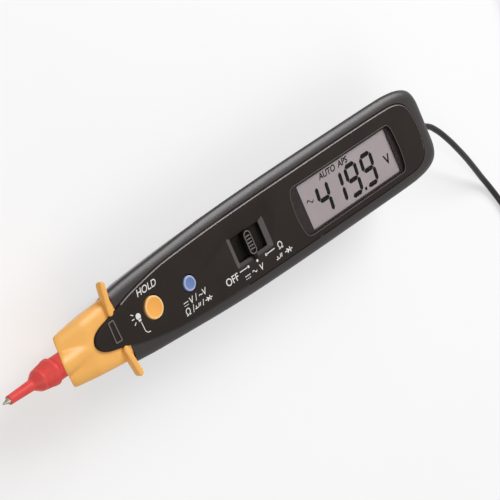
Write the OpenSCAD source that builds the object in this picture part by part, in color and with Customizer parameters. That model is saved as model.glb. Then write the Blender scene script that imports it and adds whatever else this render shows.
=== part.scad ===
// Pen multimeter lying on its back.
// X runs from the probe tip to the rear, Y across, Z up out of the face. Z is zero on the resting plane.
// The long axis of the case lies in the plane Y = 0.

/* [Overall] */
// Length from the probe tip to the rear of the case
total_len = 183.4; // [178:0.1:195]
// Width of the case at its widest line
case_w = 28.8; // [28:0.2:31]
// Height of the face above the resting plane
face_z = 26; // [25.8:0.2:28]
// Wall of the case
wall = 1.6; // [1.4:0.1:1.8]
// Margin of the flat underside beside the button cells
keel_margin = 1.2; // [1.2:0.1:2]
// Distance from the probe tip to the front of the case
case_front_x = 44.6; // [43.6:0.2:45.6]
// Height of the split between the two halves of the case
split_z = 9.5; // [9:0.1:10]
// Width of the rounded shoulder beside the face
shoulder_w = 3.5; // [3:0.1:4]
// Drop of the rounded shoulder to the widest line
shoulder_drop = 1.6; // [1.2:0.1:2]
// Rounding between the side walls and the underside
keel_r = 1.5; // [1:0.1:2.5]

/* [Face plateau] */
// Step of the plateau above the shoulders
plateau_step = 0.5; // [0.3:0.1:0.8]
// Length of the tongue in front of the case
tongue_len = 11.5; // [10.5:0.1:12.5]
// Distance from the rear of the plateau to the rear of the case
plateau_rear_gap = 5.1; // [4.5:0.1:6]
// Width of the groove round the plateau
groove_w = 0.45; // [0.3:0.05:0.6]
// Depth of the groove below the shoulders
groove_depth = 0.4; // [0.2:0.1:0.6]
// Rise of the small raised frame on the tongue
tongue_frame_h = 0.15; // [0.1:0.05:0.3]

/* [Guard] */
// Step from the case's side down to the guard's
guard_step = 1; // [0.5:0.1:1.3]
// Narrowing of each side of the guard towards its front
guard_taper = 2.3; // [1.7:0.1:2.7]
// Length of the guard in front of the case
guard_len = 22.4; // [21.4:0.1:23]
// Height of the guard's top at its front edge
guard_front_z = 23.6; // [23.2:0.1:24.2]
// Height of the guard's top under the tongue
guard_rear_z = 25.2; // [25:0.1:25.4]
// Undercut of the guard's front face from upright, in degrees
guard_undercut = 41; // [38:1:44]
// Reach of the ears past the case's widest line
ear_reach = 0.2; // [0:0.1:1.5]
// Thickness of an ear along the case
ear_t = 2; // [1.6:0.1:2.4]
// Height of an ear
ear_h = 2.2; // [1.8:0.1:3]
// Sweep of an ear's tip towards the rear
ear_sweep = 1.3; // [0.5:0.1:2]

/* [Probe] */
// Height of the probe's axis
probe_z = 22.2; // [22:0.1:22.6]
// Diameter of the metal pin
pin_d = 2; // [1.6:0.1:2.2]
// Length of the pin's point
pin_point = 2.4; // [1.5:0.1:3]
// Diameter of the red collar
collar_d = 7; // [6.6:0.1:7.2]
// Length of collar in front of the guard's ridge
collar_show = 1; // [0.8:0.1:2.6]
// Diameter of the collar's neck inside the guard
collar_neck_d = 4.4; // [4:0.1:4.6]
// Length of the removable sleeve
sleeve_len = 16.8; // [15:0.1:17.4]
// Diameter of the sleeve at its rear
sleeve_rear_d = 8.2; // [7.6:0.1:8.6]
// Diameter of the sleeve behind its flare
sleeve_mid_d = 6.4; // [6:0.1:7]
// Diameter of the sleeve's thin front part
sleeve_thin_d = 3.3; // [3:0.1:3.8]
// Diameter of the sleeve at its mouth
sleeve_mouth_d = 2.7; // [2.6:0.1:3]

/* [Buttons] */
// Diameter of the hold button
hold_d = 6.8; // [6.4:0.1:7.2]
// Distance from the case's front to the hold button
hold_gap = 12; // [11:0.1:13]
// Diameter of the select button
select_d = 4.6; // [4.4:0.1:5.4]
// Distance between the two buttons
button_pitch = 15; // [13:0.1:16]
// Height of the buttons above the face
button_proud = 0.5; // [0.3:0.1:0.6]
// Press travel of the buttons
button_travel = 0.8; // [0.5:0.1:0.8]
// Gap round a button in its hole
button_gap = 0.25; // [0.2:0.05:0.35]

/* [Slide switch] */
// Distance from the select button to the switch's middle position
switch_gap = 26.4; // [25.4:0.1:28]
// Distance between two switch positions
switch_pitch = 4; // [3.6:0.1:4.1]
// Length of the bevelled recess along the case
recess_len = 15.9; // [15.8:0.1:16.4]
// Width of the bevelled recess
recess_w = 9.8; // [9.8:0.1:10.4]
// Width of the bevel along the case
bevel_len = 1.7; // [1.5:0.1:1.75]
// Width of the bevel across the case
bevel_w = 1; // [0.8:0.1:1.1]
// Depth of the bevel
bevel_depth = 0.6; // [0.4:0.1:0.8]
// Length of the knob's oval across the case
knob_len = 7.6; // [7:0.1:7.6]
// Width of the knob's oval along the case
knob_w = 3; // [2.6:0.1:3.2]
// Number of grip ribs on the knob
knob_ribs = 5; // [3:1:6]

/* [Display] */
// Distance from the switch's middle position to the display opening
lcd_gap = 25.6; // [25:0.1:27]
// Distance from the display opening to the rear of the case
lcd_rear_gap = 18; // [16.2:0.1:20]
// Offset of the display opening across the case
lcd_y = -1.35; // [-1.5:0.05:-1]
// Margin between the display opening and the sides of the window pocket
lcd_margin = 0.8; // [0.6:0.1:1]
// Margin between the window pocket and the plateau's sides
window_margin = 2.9; // [2.6:0.1:3.2]
// Margin of the window pocket in front of the display opening
window_front_margin = 3.7; // [3.2:0.1:4]
// Margin of the window pocket behind the display opening
window_rear_margin = 1.3; // [1:0.1:2]
// Bulge of the pocket's front end
window_front_bulge = 1.4; // [1:0.1:1.6]
// Bulge of the pocket's rear end
window_rear_bulge = 0.9; // [0.6:0.1:1.2]
// Thickness of the window
window_t = 0.6; // [0.5:0.05:0.7]
// Depth of the window's top below the face
window_sink = 0.2; // [0.1:0.05:0.25]
// Thickness of the display glass
lcd_t = 2; // [1.6:0.1:2.1]

/* [Board] */
// Thickness of the circuit board
board_t = 1; // [0.8:0.1:1.2]
// Height of the board's top
board_z = 20; // [19.9:0.1:20]
// Distance from the case's widest line to the board's edge
board_side_gap = 4.4; // [4.3:0.1:5]
// Narrowing of each side of the board towards its front
board_taper = 3; // [2.6:0.1:4]
// Diameter of the buzzer
buzzer_d = 9; // [8:0.5:10]
// Side of the main chip
chip_side = 9; // [7:0.5:10]

/* [Battery] */
// Diameter of a button cell
cell_d = 11.6; // [11:0.1:11.8]
// Height of a button cell
cell_h = 5.4; // [5:0.1:5.5]
// Distance from the switch's middle position to the battery cover
cover_gap_x = 4; // [3:0.5:6]
// Length of the battery cover behind the cells
cover_tail = 7.8; // [7.2:0.2:9]
// Height of the battery cover's side walls
cover_h = 5; // [4.5:0.1:5.2]
// Clearance round the battery cover
cover_gap = 0.15; // [0.1:0.05:0.2]
// Diameter of the screw heads
screw_head_d = 4.2; // [3.8:0.1:4.4]
// Diameter of the screw shanks
screw_d = 2.2; // [2:0.1:2.4]

/* [Lamp] */
// Diameter of the lamp
lamp_d = 3; // [2.8:0.1:3.2]
// Height of the lamp's axis
lamp_z = 14.6; // [14:0.1:15]

/* [Lead] */
// Diameter of the lead
lead_d = 2; // [1.8:0.1:2]
// Height of the lead's exit
lead_z = 14; // [13.5:0.5:14.5]
// Length of the tapered strain relief outside the case
boot_len = 5; // [4:0.5:5]
// Diameter of the strain relief at the case
boot_d = 4.4; // [4:0.1:4.8]
// Diameter of the strain relief at its end
boot_end_d = 3.4; // [3:0.1:3.6]
// Length of the second probe with its pin
far_probe_len = 84; // [80:1:90]
// Diameter of the second probe's finger guard
far_guard_d = 10; // [9.6:0.1:10]

/* [Hidden] */
$fn = 48;

// One overrun serves all cuts
over = 1;
// Air left between a moving piece and what guides it
slide_gap = 0.3;
// Air left round pieces that are only set in place
set_gap = 0.1;
// Radial clearance of a pin in its bore
fit = 0.03;

// Case skin
half_w = case_w/2;
keel_w = cell_d + 2*keel_margin;
shoulder_z = face_z - plateau_step;
wall_lean = atan((half_w - keel_w/2)/(shoulder_z - shoulder_drop));
case_len = total_len - case_front_x;
// Stations along the case, its half width, its underside and its rounded top at the rear
case_x_shares = [0, 0.054, 0.112, 0.185, 0.258, 0.33, 0.403, 0.512, 0.62, 0.84, 0.898, 0.935, 0.96, 0.978,
    0.99, 0.996, 1];
case_w_shares = [0.757, 0.81, 0.847, 0.892, 0.934, 0.965, 0.983, 0.996, 1, 1, 0.993, 0.962, 0.91, 0.84,
    0.757, 0.667, 0.57];
case_low_shares = [0.28, 0.208, 0.146, 0.081, 0.035, 0.008, 0, 0, 0, 0, 0, 0.012, 0.046, 0.1,
    0.17, 0.246, 0.346];
case_drop_shares = [0, 0, 0, 0, 0, 0, 0, 0, 0, 0, 0, 0, 0.02, 0.12, 0.35, 0.6, 1];
shoulder_steps = 5;
keel_steps = 3;
// A side wall that leans needs this much more inset for the same wall
side_inset = wall/cos(wall_lean);
ceiling_z = face_z - wall;

// Plateau outline as shares of its length and half width, from the tongue to the rear
plateau_x_shares = [0, 0.003, 0.01, 0.024, 0.048, 0.072, 0.114, 0.18, 0.222, 0.333, 0.43, 0.604, 0.94,
    0.958, 0.975, 0.987, 0.994, 1];
plateau_w_shares = [0, 0.12, 0.23, 0.33, 0.41, 0.485, 0.64, 0.8, 0.87, 0.945, 0.98, 1, 0.99,
    0.96, 0.88, 0.76, 0.55, 0];
plateau_inset = 0.1;
plateau_half_w = half_w - shoulder_w - plateau_inset;
tongue_x = case_front_x - tongue_len;
plateau_len = total_len - plateau_rear_gap - tongue_x;
plateau_t = face_z - guard_rear_z - set_gap;
tongue_frame_gap = 7.6;
tongue_frame_x = tongue_x + tongue_frame_gap;
tongue_frame_y = 0.6;
tongue_frame_len = 6.6;
tongue_frame_w = 2.1;
tongue_frame_line = 0.3;

// Guard
guard_front_x = case_front_x - guard_len;
guard_rear_half_w = half_w*case_w_shares[0] - guard_step;
guard_front_half_w = guard_rear_half_w - guard_taper;
ear_half_span = half_w + ear_reach;
guard_top_drop = 2.2;
guard_bottom_z = 10;
guard_stretch = 6;
spigot_len = 4.6;
spigot_gap = 0.15;
ridge_front_r = 3.7;
ridge_rear_r = 2.9;
ear_root_y = 5.6;
ear_z = 26.2;
ear_root_gap = 2.4;
ear_root_x = case_front_x - ear_root_gap;
guard_pocket_len = 7.6;
guard_pocket_x = case_front_x - guard_pocket_len;
collar_seat = 1;
guard_pocket_half_w = 3.6;
guard_pocket_low_z = 12.4;
guard_pocket_top_z = 23.7;

// Probe
ridge_front_x = guard_front_x - (probe_z + ridge_front_r - guard_front_z)*tan(guard_undercut);
collar_x = ridge_front_x - collar_show;
collar_end_gap = 9.6;
collar_end_x = case_front_x - collar_end_gap;
sleeve_rear_x = collar_x - slide_gap;
sleeve_x = sleeve_rear_x - sleeve_len;
pin_end_gap = 1;
pin_end_x = case_front_x - pin_end_gap;
pin_flat_d = 0.5;
thin_share = 0.52;
flare_share = 0.66;

// Buttons
hold_x = case_front_x + hold_gap;
select_x = hold_x + button_pitch;
button_flange = 0.75;
button_flange_t = 0.8;
dome_h = 0.9;
dome_gap = 0.2;
button_edge = 0.3;

// Switch
switch_x = select_x + switch_gap;
slider_t = 1;
slider_side = 1.6;
slider_z = ceiling_z - slide_gap/2;
slot_half_w = recess_w/2 - bevel_w;
slot_len = recess_len - 2*bevel_len;
slider_len = slot_len + 2*switch_pitch + slider_side;
slider_front_x = switch_x - slider_len/2 - switch_pitch;
recess_shift = 0.2;
recess_x = switch_x + recess_shift;
knob_z = face_z + set_gap;
knob_rib_w = 0.5;
knob_rib_h = 0.3;
knob_rim = 0.45;
pointer_w = 1.4;
pointer_t = 0.7;
pointer_reach = 0.4;
wiper_w = 1.4;
wiper_y = 3;
wiper_t = 0.4;
pad_t = 0.15;
pad_w = 2.4;
pad_len = 3.2;

// Display
lcd_x = switch_x + lcd_gap;
lcd_len = total_len - lcd_rear_gap - lcd_x;
window_w = 2*(plateau_half_w - window_margin);
lcd_w = window_w - 2*lcd_margin;
window_front_x = lcd_x - window_front_margin;
window_len = lcd_len + window_front_margin + window_rear_margin;
window_y = -1.3;
window_corner_r = 0.8;
window_gap = 0.1;
pocket_z = face_z - window_sink - window_t;
web_t = 0.5;
lcd_top_z = pocket_z - web_t - set_gap;
lcd_border = 1.6;
lcd_border_y = 1.2;
frame_t = 1;
frame_lip = 0.8;
frame_lip_t = 0.8;
zebra_t = 1.6;

// Board
part_len = 3;
part_w = 1.6;
part_t = 1.1;
contact_strip_w = 2;
contact_strip_t = 0.3;
board_front_gap = 6.4;
board_rear_gap = 8.5;
board_neck_len = 31;
board_x = case_front_x + board_front_gap;
board_end_x = total_len - board_rear_gap;
board_neck_x = board_x + board_neck_len;
board_half_w = half_w - board_side_gap;
board_front_half_w = board_half_w - board_taper;
board_low_z = board_z - board_t;
post_d = 3.4;
post_bore_d = 1.4;
post_hole_d = 1.8;
post_inset = 2.6;
post_front_x = slider_front_x - post_d/2 - 2*slide_gap;
post_rear_x = board_end_x - post_inset;
post_y = board_half_w - post_inset;
post_places = [[post_front_x, post_y], [post_front_x, -post_y], [post_rear_x, post_y], [post_rear_x, -post_y]];
small_head_d = 2.8;
small_head_t = 0.9;
small_screw_d = 1.4;
small_screw_len = 3.4;
buzzer_h = 3;
buzzer_x = (hold_x + select_x)/2 + small_head_d;
chip_t = 1.6;
chip_shift = 5.5;
chip_x = switch_x + chip_shift;
thermistor_d = 7;
thermistor_t = 2.6;
thermistor_x = chip_x - chip_side/2 - thermistor_d - part_w;
// Places of the small parts, as shares of the display's length and of the board's half width
part_x_shares = [0, 0.22, 0.44, 0.66, 0.88];
part_y_shares = [-0.6, -0.2, 0.2, 0.6];

// Battery
cover_x = switch_x + cover_gap_x;
cell_end_gap = 2.2;
cell_x = cover_x + cell_end_gap + cell_d/2;
cell_gap = 0.8;
cell_pitch = cell_d + cell_gap;
cover_len = cell_end_gap + cell_d + cell_pitch + cover_tail;
cover_end_x = cover_x + cover_len;
bridge_t = 0.3;
cell_z = wall + bridge_t + slide_gap;
contact_t = 0.3;
battery_roof_z = cell_z + cell_h + slide_gap + contact_t;
battery_roof_t = 1;
battery_end_t = 1.2;
cover_screw_gap = 4;
cover_screw_x = cover_end_x - cover_screw_gap;
cover_boss_d = 5.2;
head_t = 1.5;
head_seat_z = 3;
front_screw_gap = 1.7;
rear_screw_gap = 10;
boss_d = 5.4;
case_screw_places = [slider_front_x - boss_d/2 - front_screw_gap, total_len - rear_screw_gap];
screw_end_z = 16;
boss_gap = 0.2;
boss_top_z = split_z + 1.2;
bore_gap = 0.15;

// Lamp
lamp_len = 6;
lamp_flange = 0.4;
lamp_flange_t = 0.8;
lamp_tail_x = guard_pocket_x + lamp_flange;
lamp_lead_d = 0.5;
lamp_lead_y = 0.9;
lamp_lead_x = board_x + 2*contact_strip_w;

// Probe contact
contact_rest_len = 0.8;
contact_rest_x = board_x + contact_strip_w + contact_rest_len;

// Lead
bushing_flange_d = 6.4;
bushing_flange_t = 1.4;
bushing_wall_t = 1.8;
core_x = board_end_x - 4*lead_d;
lead_y = -(boss_d + lead_d)/2 - boss_gap;
terminal_d = 1;
boot_end_x = total_len + boot_len;
// Points that the photographed stretch of the lead passes, from the rear of the case on
stretch_points = [[boot_len, lead_y, lead_z], [boot_len + lead_d, lead_y, lead_z], [10.5, -5, 13.7], [14, -7.7, 13],
    [18.5, -12.7, 11.7], [23, -18.2, 9.8], [27.5, -23.6, 7.4], [31.5, -28.6, 5], [35, -33, 2.8], [37.8, -37.2, 1.5],
    [39.8, -41.5, 1], [41.2, -46, 1], [42.2, -50.5, 1], [42.8, -55, 1], [43, -59, 1], [43, -61, 1]];
// Points from the coil to the second probe
tail_points = [[60, -78, 3.5], [62, -78, 3.5], [66, -78, 2.9], [70, -77.6, 2.2], [74, -76, 1.8],
    [77.4, -73.4, 2.2], [79.6, -70.4, 3.2], [80.8, -67.4, 4.4], [81, -65, 5], [81, -63, 5]];
stretch_sides = 8;
// Coil: centre, outer radius at the lead's middle, turns and the steps between turns and between layers
coil_centre = [58, -63];
coil_r = 15;
coil_turns = 7.25;
coil_step = 2.5;
coil_layer = 2.5;
coil_low_z = 1;
coil_start_angle = 180;
coil_rings = 24;
coil_sides = 6;
coil_straight = 2;

// Second probe, as shares of its length and of its guard's radius
far_x = 81;
far_y = -63;
far_z = far_guard_d/2;
far_len_shares = [0, 0.13, 0.13, 0.16, 0.18, 0.45, 0.7, 0.72, 0.75, 0.76, 0.84];
far_r_shares = [0.34, 0.5, 1, 1, 0.8, 0.72, 0.78, 1, 1, 0.56, 0.38];
far_pin_share = 0.8;

// Cross-section

// Half of a cross-section from the middle of the top to just before the middle of the underside
function half_section(w, top, low, drop) =
    let (bend_z = top - drop, run = shoulder_w,
        foot_z = low + keel_r,
        foot_y = w - (bend_z - foot_z)*tan(wall_lean) - keel_r/cos(wall_lean))
    concat([[0, top]],
        [for (i = [0:shoulder_steps]) let (a = 90 - 90*i/shoulder_steps)
            [w - run + run*cos(a), bend_z + drop*sin(a)]],
        [for (i = [0:keel_steps]) let (a = -wall_lean - (90 - wall_lean)*i/keel_steps)
            [foot_y + keel_r*cos(a), foot_z + keel_r*sin(a)]]);

// A whole cross-section at x, clockwise as seen from the rear
function section(x, w, top, low, drop) =
    let (half = half_section(w, top, low, drop), n = len(half))
    concat([for (p = half) [x, p[0], p[1]]], [[x, 0, low]],
        [for (i = [n - 1:-1:1]) [x, -half[i][0], half[i][1]]]);

// A closed skin through rings that all have the same number of points
module skin(rings) {
    n = len(rings[0]);
    m = len(rings);
    sides = [for (i = [0:m - 2], j = [0:n - 1]) let (a = i*n + j, b = i*n + (j + 1)%n) each
        [[a, b, b + n], [a, b + n, a + n]]];
    front = [for (j = [1:n - 2]) [0, j + 1, j]];
    rear = [for (j = [1:n - 2]) (m - 1)*n*[1, 1, 1] + [0, j, j + 1]];
    polyhedron([for (ring = rings) each ring], concat(sides, front, rear));
}

// The case's skin, brought in by an inset from its outer surface
module case_skin(side, top, low, front, rear) {
    skin([for (i = [0:len(case_x_shares) - 1])
        let (x = i == 0 ? case_front_x - front
            : case_front_x + case_x_shares[i]*(case_len - rear))
        section(x, case_w_shares[i]*half_w - side,
            shoulder_z - shoulder_drop*case_drop_shares[i] - top,
            case_low_shares[i]*face_z + low, shoulder_drop)]);
}

// The same cross-sections between the case's front and a little way in, for the guard's spigot
module spigot_skin(inset) {
    x1 = case_front_x + case_x_shares[1]*case_len;
    share = spigot_len/(x1 - case_front_x);
    w_share = case_w_shares[0] + (case_w_shares[1] - case_w_shares[0])*share;
    low_share = case_low_shares[0] + (case_low_shares[1] - case_low_shares[0])*share;
    skin([section(case_front_x - over, case_w_shares[0]*half_w - inset, ceiling_z - spigot_gap,
            case_low_shares[0]*face_z + inset, shoulder_drop),
        section(case_front_x + spigot_len, case_w_shares[0]*half_w - inset, ceiling_z - spigot_gap,
            case_low_shares[0]*face_z + inset, shoulder_drop)]);
}

// The middle between the probe tip and the end of the strain relief lies over the origin
module centred() {
    translate([-(total_len + boot_len)/2, 0, 0]) children();
}

// The lead is placed from the rear of the case
module from_rear() {
    translate([(total_len - boot_len)/2, 0, 0]) children();
}

// A box from its lowest corner to its highest
module span(low, high) {
    translate(low) cube(high - low);
}

// A cylinder along X from x0 to x1
module rod_x(x0, x1, d, y, z) {
    translate([x0, y, z]) rotate([0, 90, 0]) cylinder(d = d, h = x1 - x0);
}

// A cylinder along Z
module rod_z(x, y, z0, z1, d) {
    translate([x, y, z0]) cylinder(d = d, h = z1 - z0);
}

// Plateau outline, with an inset from its edge
module plateau_plan(grow) {
    n = len(plateau_x_shares);
    side = [for (i = [0:n - 1]) [tongue_x + plateau_x_shares[i]*plateau_len, plateau_w_shares[i]*plateau_half_w]];
    centre = tongue_x + plateau_len/2;
    stretch = (plateau_len + 2*grow)/plateau_len;
    edge = [for (i = [0:n - 1]) [centre + (side[i][0] - centre)*stretch,
        side[i][1]*(plateau_half_w + grow)/plateau_half_w]];
    polygon(concat(edge, [for (i = [n - 2:-1:1]) [edge[i][0], -edge[i][1]]]));
}

// Window outline: straight long sides and ends that bulge along arcs
module window_plan(gap) {
    half = window_w/2 - gap;
    x0 = window_front_x + gap;
    x1 = window_front_x + window_len - gap;
    steps = 8;
    front = [for (i = [0:steps]) let (t = 1 - 2*i/steps) [x0 - window_front_bulge*(1 - t*t), window_y - half*t]];
    rear = [for (i = [0:steps]) let (t = 1 - 2*i/steps) [x1 + window_rear_bulge*(1 - t*t), window_y + half*t]];
    polygon(concat(front, rear));
}

// A pyramid-sided pocket that narrows downwards
module bevel_pocket() {
    x0 = recess_x - recess_len/2;
    x1 = recess_x + recess_len/2;
    y1 = recess_w/2;
    z1 = face_z;
    z0 = face_z - bevel_depth;
    rise = over/bevel_depth;
    polyhedron([[x0 - bevel_len*rise, -y1 - bevel_w*rise, z1 + over], [x1 + bevel_len*rise, -y1 - bevel_w*rise, z1 + over],
        [x1 + bevel_len*rise, y1 + bevel_w*rise, z1 + over], [x0 - bevel_len*rise, y1 + bevel_w*rise, z1 + over],
        [x0 + bevel_len, -y1 + bevel_w, z0], [x1 - bevel_len, -y1 + bevel_w, z0],
        [x1 - bevel_len, y1 - bevel_w, z0], [x0 + bevel_len, y1 - bevel_w, z0]],
        [[3, 2, 1, 0], [4, 5, 6, 7], [0, 1, 5, 4], [1, 2, 6, 5], [2, 3, 7, 6], [3, 0, 4, 7]]);
}

// Case halves

module upper_case() color([0.2, 0.18, 0.17]) centred() {
    difference() {
        union() {
            difference() {
                case_skin(0, 0, 0, 0, 0);
                case_skin(side_inset, wall - plateau_step, wall, over, wall);
                span([0, -case_w, -over], [total_len + over, case_w, split_z]);
                translate([0, 0, shoulder_z - groove_depth]) linear_extrude(plateau_step + over) difference() {
                    plateau_plan(groove_w);
                    plateau_plan(0);
                }
            }
            translate([0, 0, face_z - plateau_t]) linear_extrude(plateau_t) plateau_plan(0);
            for (p = post_places) rod_z(p[0], p[1], board_z + set_gap, ceiling_z + over/2, post_d);
            for (x = case_screw_places) rod_z(x, 0, boss_top_z + boss_gap, ceiling_z + over/2, boss_d);
            tongue_frame();
        }
        button_hole(hold_x, hold_d);
        button_hole(select_x, select_d);
        bevel_pocket();
        span([recess_x - slot_len/2, -slot_half_w, ceiling_z - over],
            [recess_x + slot_len/2, slot_half_w, face_z]);
        translate([0, 0, pocket_z]) linear_extrude(window_sink + window_t + over) window_plan(0);
        lcd_opening();
        for (p = post_places) rod_z(p[0], p[1], board_z, ceiling_z, post_bore_d);
        for (x = case_screw_places) rod_z(x, 0, boss_top_z, screw_end_z + over, screw_d - bore_gap);
        rod_x(total_len - wall - 2*over, total_len + over, boot_d + 2*fit, lead_y, lead_z);
        rod_x(total_len - bushing_flange_d, total_len - bushing_wall_t + fit, bushing_flange_d + 2*set_gap,
            lead_y, lead_z);
    }
}

// Raised outline on the tongue
module tongue_frame() {
    translate([tongue_frame_x, tongue_frame_y - tongue_frame_len/2, face_z - over/2])
        linear_extrude(over/2 + tongue_frame_h) difference() {
            square([tongue_frame_w, tongue_frame_len]);
            translate([tongue_frame_line, tongue_frame_line])
                square([tongue_frame_w - 2*tongue_frame_line, tongue_frame_len - 2*tongue_frame_line]);
        }
}

module button_hole(x, d) {
    rod_z(x, 0, ceiling_z - over, face_z + over, d + 2*button_gap);
}

// The display opening and the room for the glass under its web
module lcd_opening() {
    span([lcd_x, lcd_y - lcd_w/2, pocket_z - over], [lcd_x + lcd_len, lcd_y + lcd_w/2, face_z]);
    span([lcd_x - lcd_border - set_gap, lcd_y - lcd_w/2 - lcd_border_y - set_gap, ceiling_z - over],
        [lcd_x + lcd_len + lcd_border + set_gap, lcd_y + lcd_w/2 + lcd_border_y + set_gap, pocket_z - web_t]);
}

module lower_case() color([0.16, 0.145, 0.14]) centred() {
    difference() {
        union() {
            difference() {
                case_skin(0, 0, 0, 0, 0);
                case_skin(side_inset, wall - plateau_step, wall, over, wall);
                span([0, -case_w, split_z], [total_len + over, case_w, face_z + over]);
                cover_room();
            }
            battery_roof();
            intersection() {
                case_skin(set_gap, 0, set_gap, 0, 0);
                union() {
                    for (x = case_screw_places) rod_z(x, 0, 0, boss_top_z, boss_d);
                    span([cover_x - cover_gap - battery_end_t, -half_w, 0], [cover_x - cover_gap, half_w, battery_roof_z]);
                    span([cover_end_x + cover_gap, -half_w, 0],
                        [cover_end_x + cover_gap + battery_end_t, half_w, battery_roof_z]);
                }
            }
            rod_z(cover_screw_x, 0, cover_h + boss_gap, battery_roof_z + battery_roof_t/2, cover_boss_d);
        }
        for (x = case_screw_places) {
            rod_z(x, 0, -over, head_seat_z, screw_head_d + 2*bore_gap);
            rod_z(x, 0, 0, boss_top_z + over, screw_d + 2*bore_gap);
        }
        rod_z(cover_screw_x, 0, cover_h, battery_roof_z, screw_d - bore_gap);
    }
}

// Everything below the battery cover's edge, over the cover's length
module cover_room() {
    span([cover_x - cover_gap, -case_w, -over], [cover_end_x + cover_gap, case_w, cover_h + cover_gap]);
}

// Roof of the battery compartment, as wide as the case inside
module battery_roof() {
    roof_half_w = half_w - (shoulder_z - shoulder_drop - battery_roof_z)*tan(wall_lean) - side_inset/2;
    span([cover_x - cover_gap - battery_end_t, -roof_half_w, battery_roof_z],
        [cover_end_x + cover_gap + battery_end_t, roof_half_w, battery_roof_z + battery_roof_t]);
}

// Guard

module nose_guard() color([0.98, 0.7, 0.36]) centred() {
    difference() {
        union() {
            guard_skin();
            intersection() {
                translate([guard_front_x - guard_stretch, 0, probe_z]) rotate([0, 90, 0])
                    cylinder(r1 = ridge_front_r + ridge_slope()*guard_stretch, r2 = ridge_rear_r,
                        h = tongue_x - guard_front_x + guard_stretch);
                span([0, -half_w, probe_z], [total_len, half_w, face_z + over]);
            }
            for (s = [-1, 1]) ear(s);
            spigot_skin(side_inset + spigot_gap);
        }
        // The front face leans back under the top edge
        front_space(0);
        translate([0, 0, guard_rear_z + set_gap/2]) linear_extrude(over) plateau_plan(set_gap);
        intersection() {
            rod_x(0, guard_pocket_x, collar_d + 2*fit, 0, probe_z);
            front_space(collar_seat + fit);
        }
        rod_x(0, guard_pocket_x + over, collar_neck_d + 2*fit, 0, probe_z);
        rod_x(0, guard_pocket_x + over, lamp_d + 2*fit, 0, lamp_z);
        span([guard_pocket_x, -guard_pocket_half_w, guard_pocket_low_z],
            [case_front_x + spigot_len + over, guard_pocket_half_w, guard_pocket_top_z]);
    }
}

// All that lies in front of the guard's leaning front face, moved back by a depth
module front_space(depth) {
    translate([guard_front_x + depth, 0, guard_front_z]) rotate([0, -guard_undercut, 0])
        span([-2*face_z, -case_w, -2*face_z], [0, case_w, face_z]);
}

function ridge_slope() = (ridge_front_r - ridge_rear_r)/(tongue_x - guard_front_x);

// Guard's outer skin, from in front of its front face to the case
module guard_skin() {
    x_shares = [0, 0.5, 1];
    run = case_front_x - guard_front_x;
    slope = (guard_rear_half_w - guard_front_half_w)/run;
    level_x = tongue_x - over;
    top_slope = (guard_rear_z - guard_front_z)/(level_x - guard_front_x);
    low_slope = (guard_bottom_z - case_low_shares[0]*face_z)/(case_front_x - tongue_x);
    function guard_section(x, top) = section(x, guard_front_half_w + slope*(x - guard_front_x), top,
        guard_bottom_z - low_slope*(x - tongue_x), guard_top_drop);
    skin([guard_section(guard_front_x - guard_stretch, guard_front_z - top_slope*guard_stretch),
        guard_section(guard_front_x, guard_front_z),
        guard_section(level_x, guard_rear_z), guard_section(case_front_x, guard_rear_z)]);
}

// One ear, a bar with a round tip that sweeps back
module ear(side) {
    translate([0, 0, ear_z - ear_h]) linear_extrude(ear_h) hull() {
        translate([ear_root_x, side*ear_root_y]) circle(d = ear_t, $fn = 24);
        translate([ear_root_x + ear_sweep, side*(ear_half_span - ear_t/2)]) circle(d = ear_t, $fn = 24);
    }
}

// Probe

module probe_pin() color([0.75, 0.73, 0.7]) centred() translate([0, 0, probe_z]) rotate([0, 90, 0]) {
    cylinder(d1 = pin_flat_d, d2 = pin_d, h = pin_point);
    translate([0, 0, pin_point]) cylinder(d = pin_d, h = pin_end_x - pin_point);
}

module probe_collar() color([0.86, 0.28, 0.26]) centred() difference() {
    union() {
        intersection() {
            rod_x(collar_x, guard_pocket_x, collar_d, 0, probe_z);
            front_space(collar_seat);
        }
        rod_x(collar_x, collar_end_x, collar_neck_d, 0, probe_z);
    }
    rod_x(0, total_len, pin_d + 2*fit, 0, probe_z);
}

module probe_sleeve() color([0.88, 0.3, 0.28]) centred() {
    bore_r = pin_d/2 + fit;
    translate([sleeve_x, 0, probe_z]) rotate([0, 90, 0]) rotate_extrude()
        polygon([[bore_r, 0], [sleeve_mouth_d/2, 0], [sleeve_thin_d/2, thin_share*sleeve_len],
            [sleeve_mid_d/2, flare_share*sleeve_len], [sleeve_rear_d/2, sleeve_len - slide_gap],
            [sleeve_rear_d/2 - slide_gap, sleeve_len], [bore_r, sleeve_len]]);
}

// Buttons

module button(x, d) {
    rod_z(x, 0, face_z, face_z + button_proud - button_edge, d);
    translate([x, 0, face_z + button_proud - button_edge]) cylinder(d1 = d, d2 = d - 2*button_edge, h = button_edge);
    rod_z(x, 0, ceiling_z - slide_gap - button_flange_t, face_z, d);
    rod_z(x, 0, ceiling_z - slide_gap - button_flange_t, ceiling_z - slide_gap, d + 2*button_flange);
    rod_z(x, 0, board_z + dome_h + dome_gap + button_travel, ceiling_z, d/2);
}

module hold_button() color([0.98, 0.7, 0.35]) centred() button(hold_x, hold_d);

module select_button() color([0.44, 0.52, 0.72]) centred() button(select_x, select_d);

module dome_switches() color([0.8, 0.78, 0.7]) centred()
    for (x = [hold_x, select_x]) {
        translate([x, 0, board_z]) cylinder(d1 = select_d, d2 = select_d - 2*dome_h, h = dome_h);
    }

// Slide switch

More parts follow.
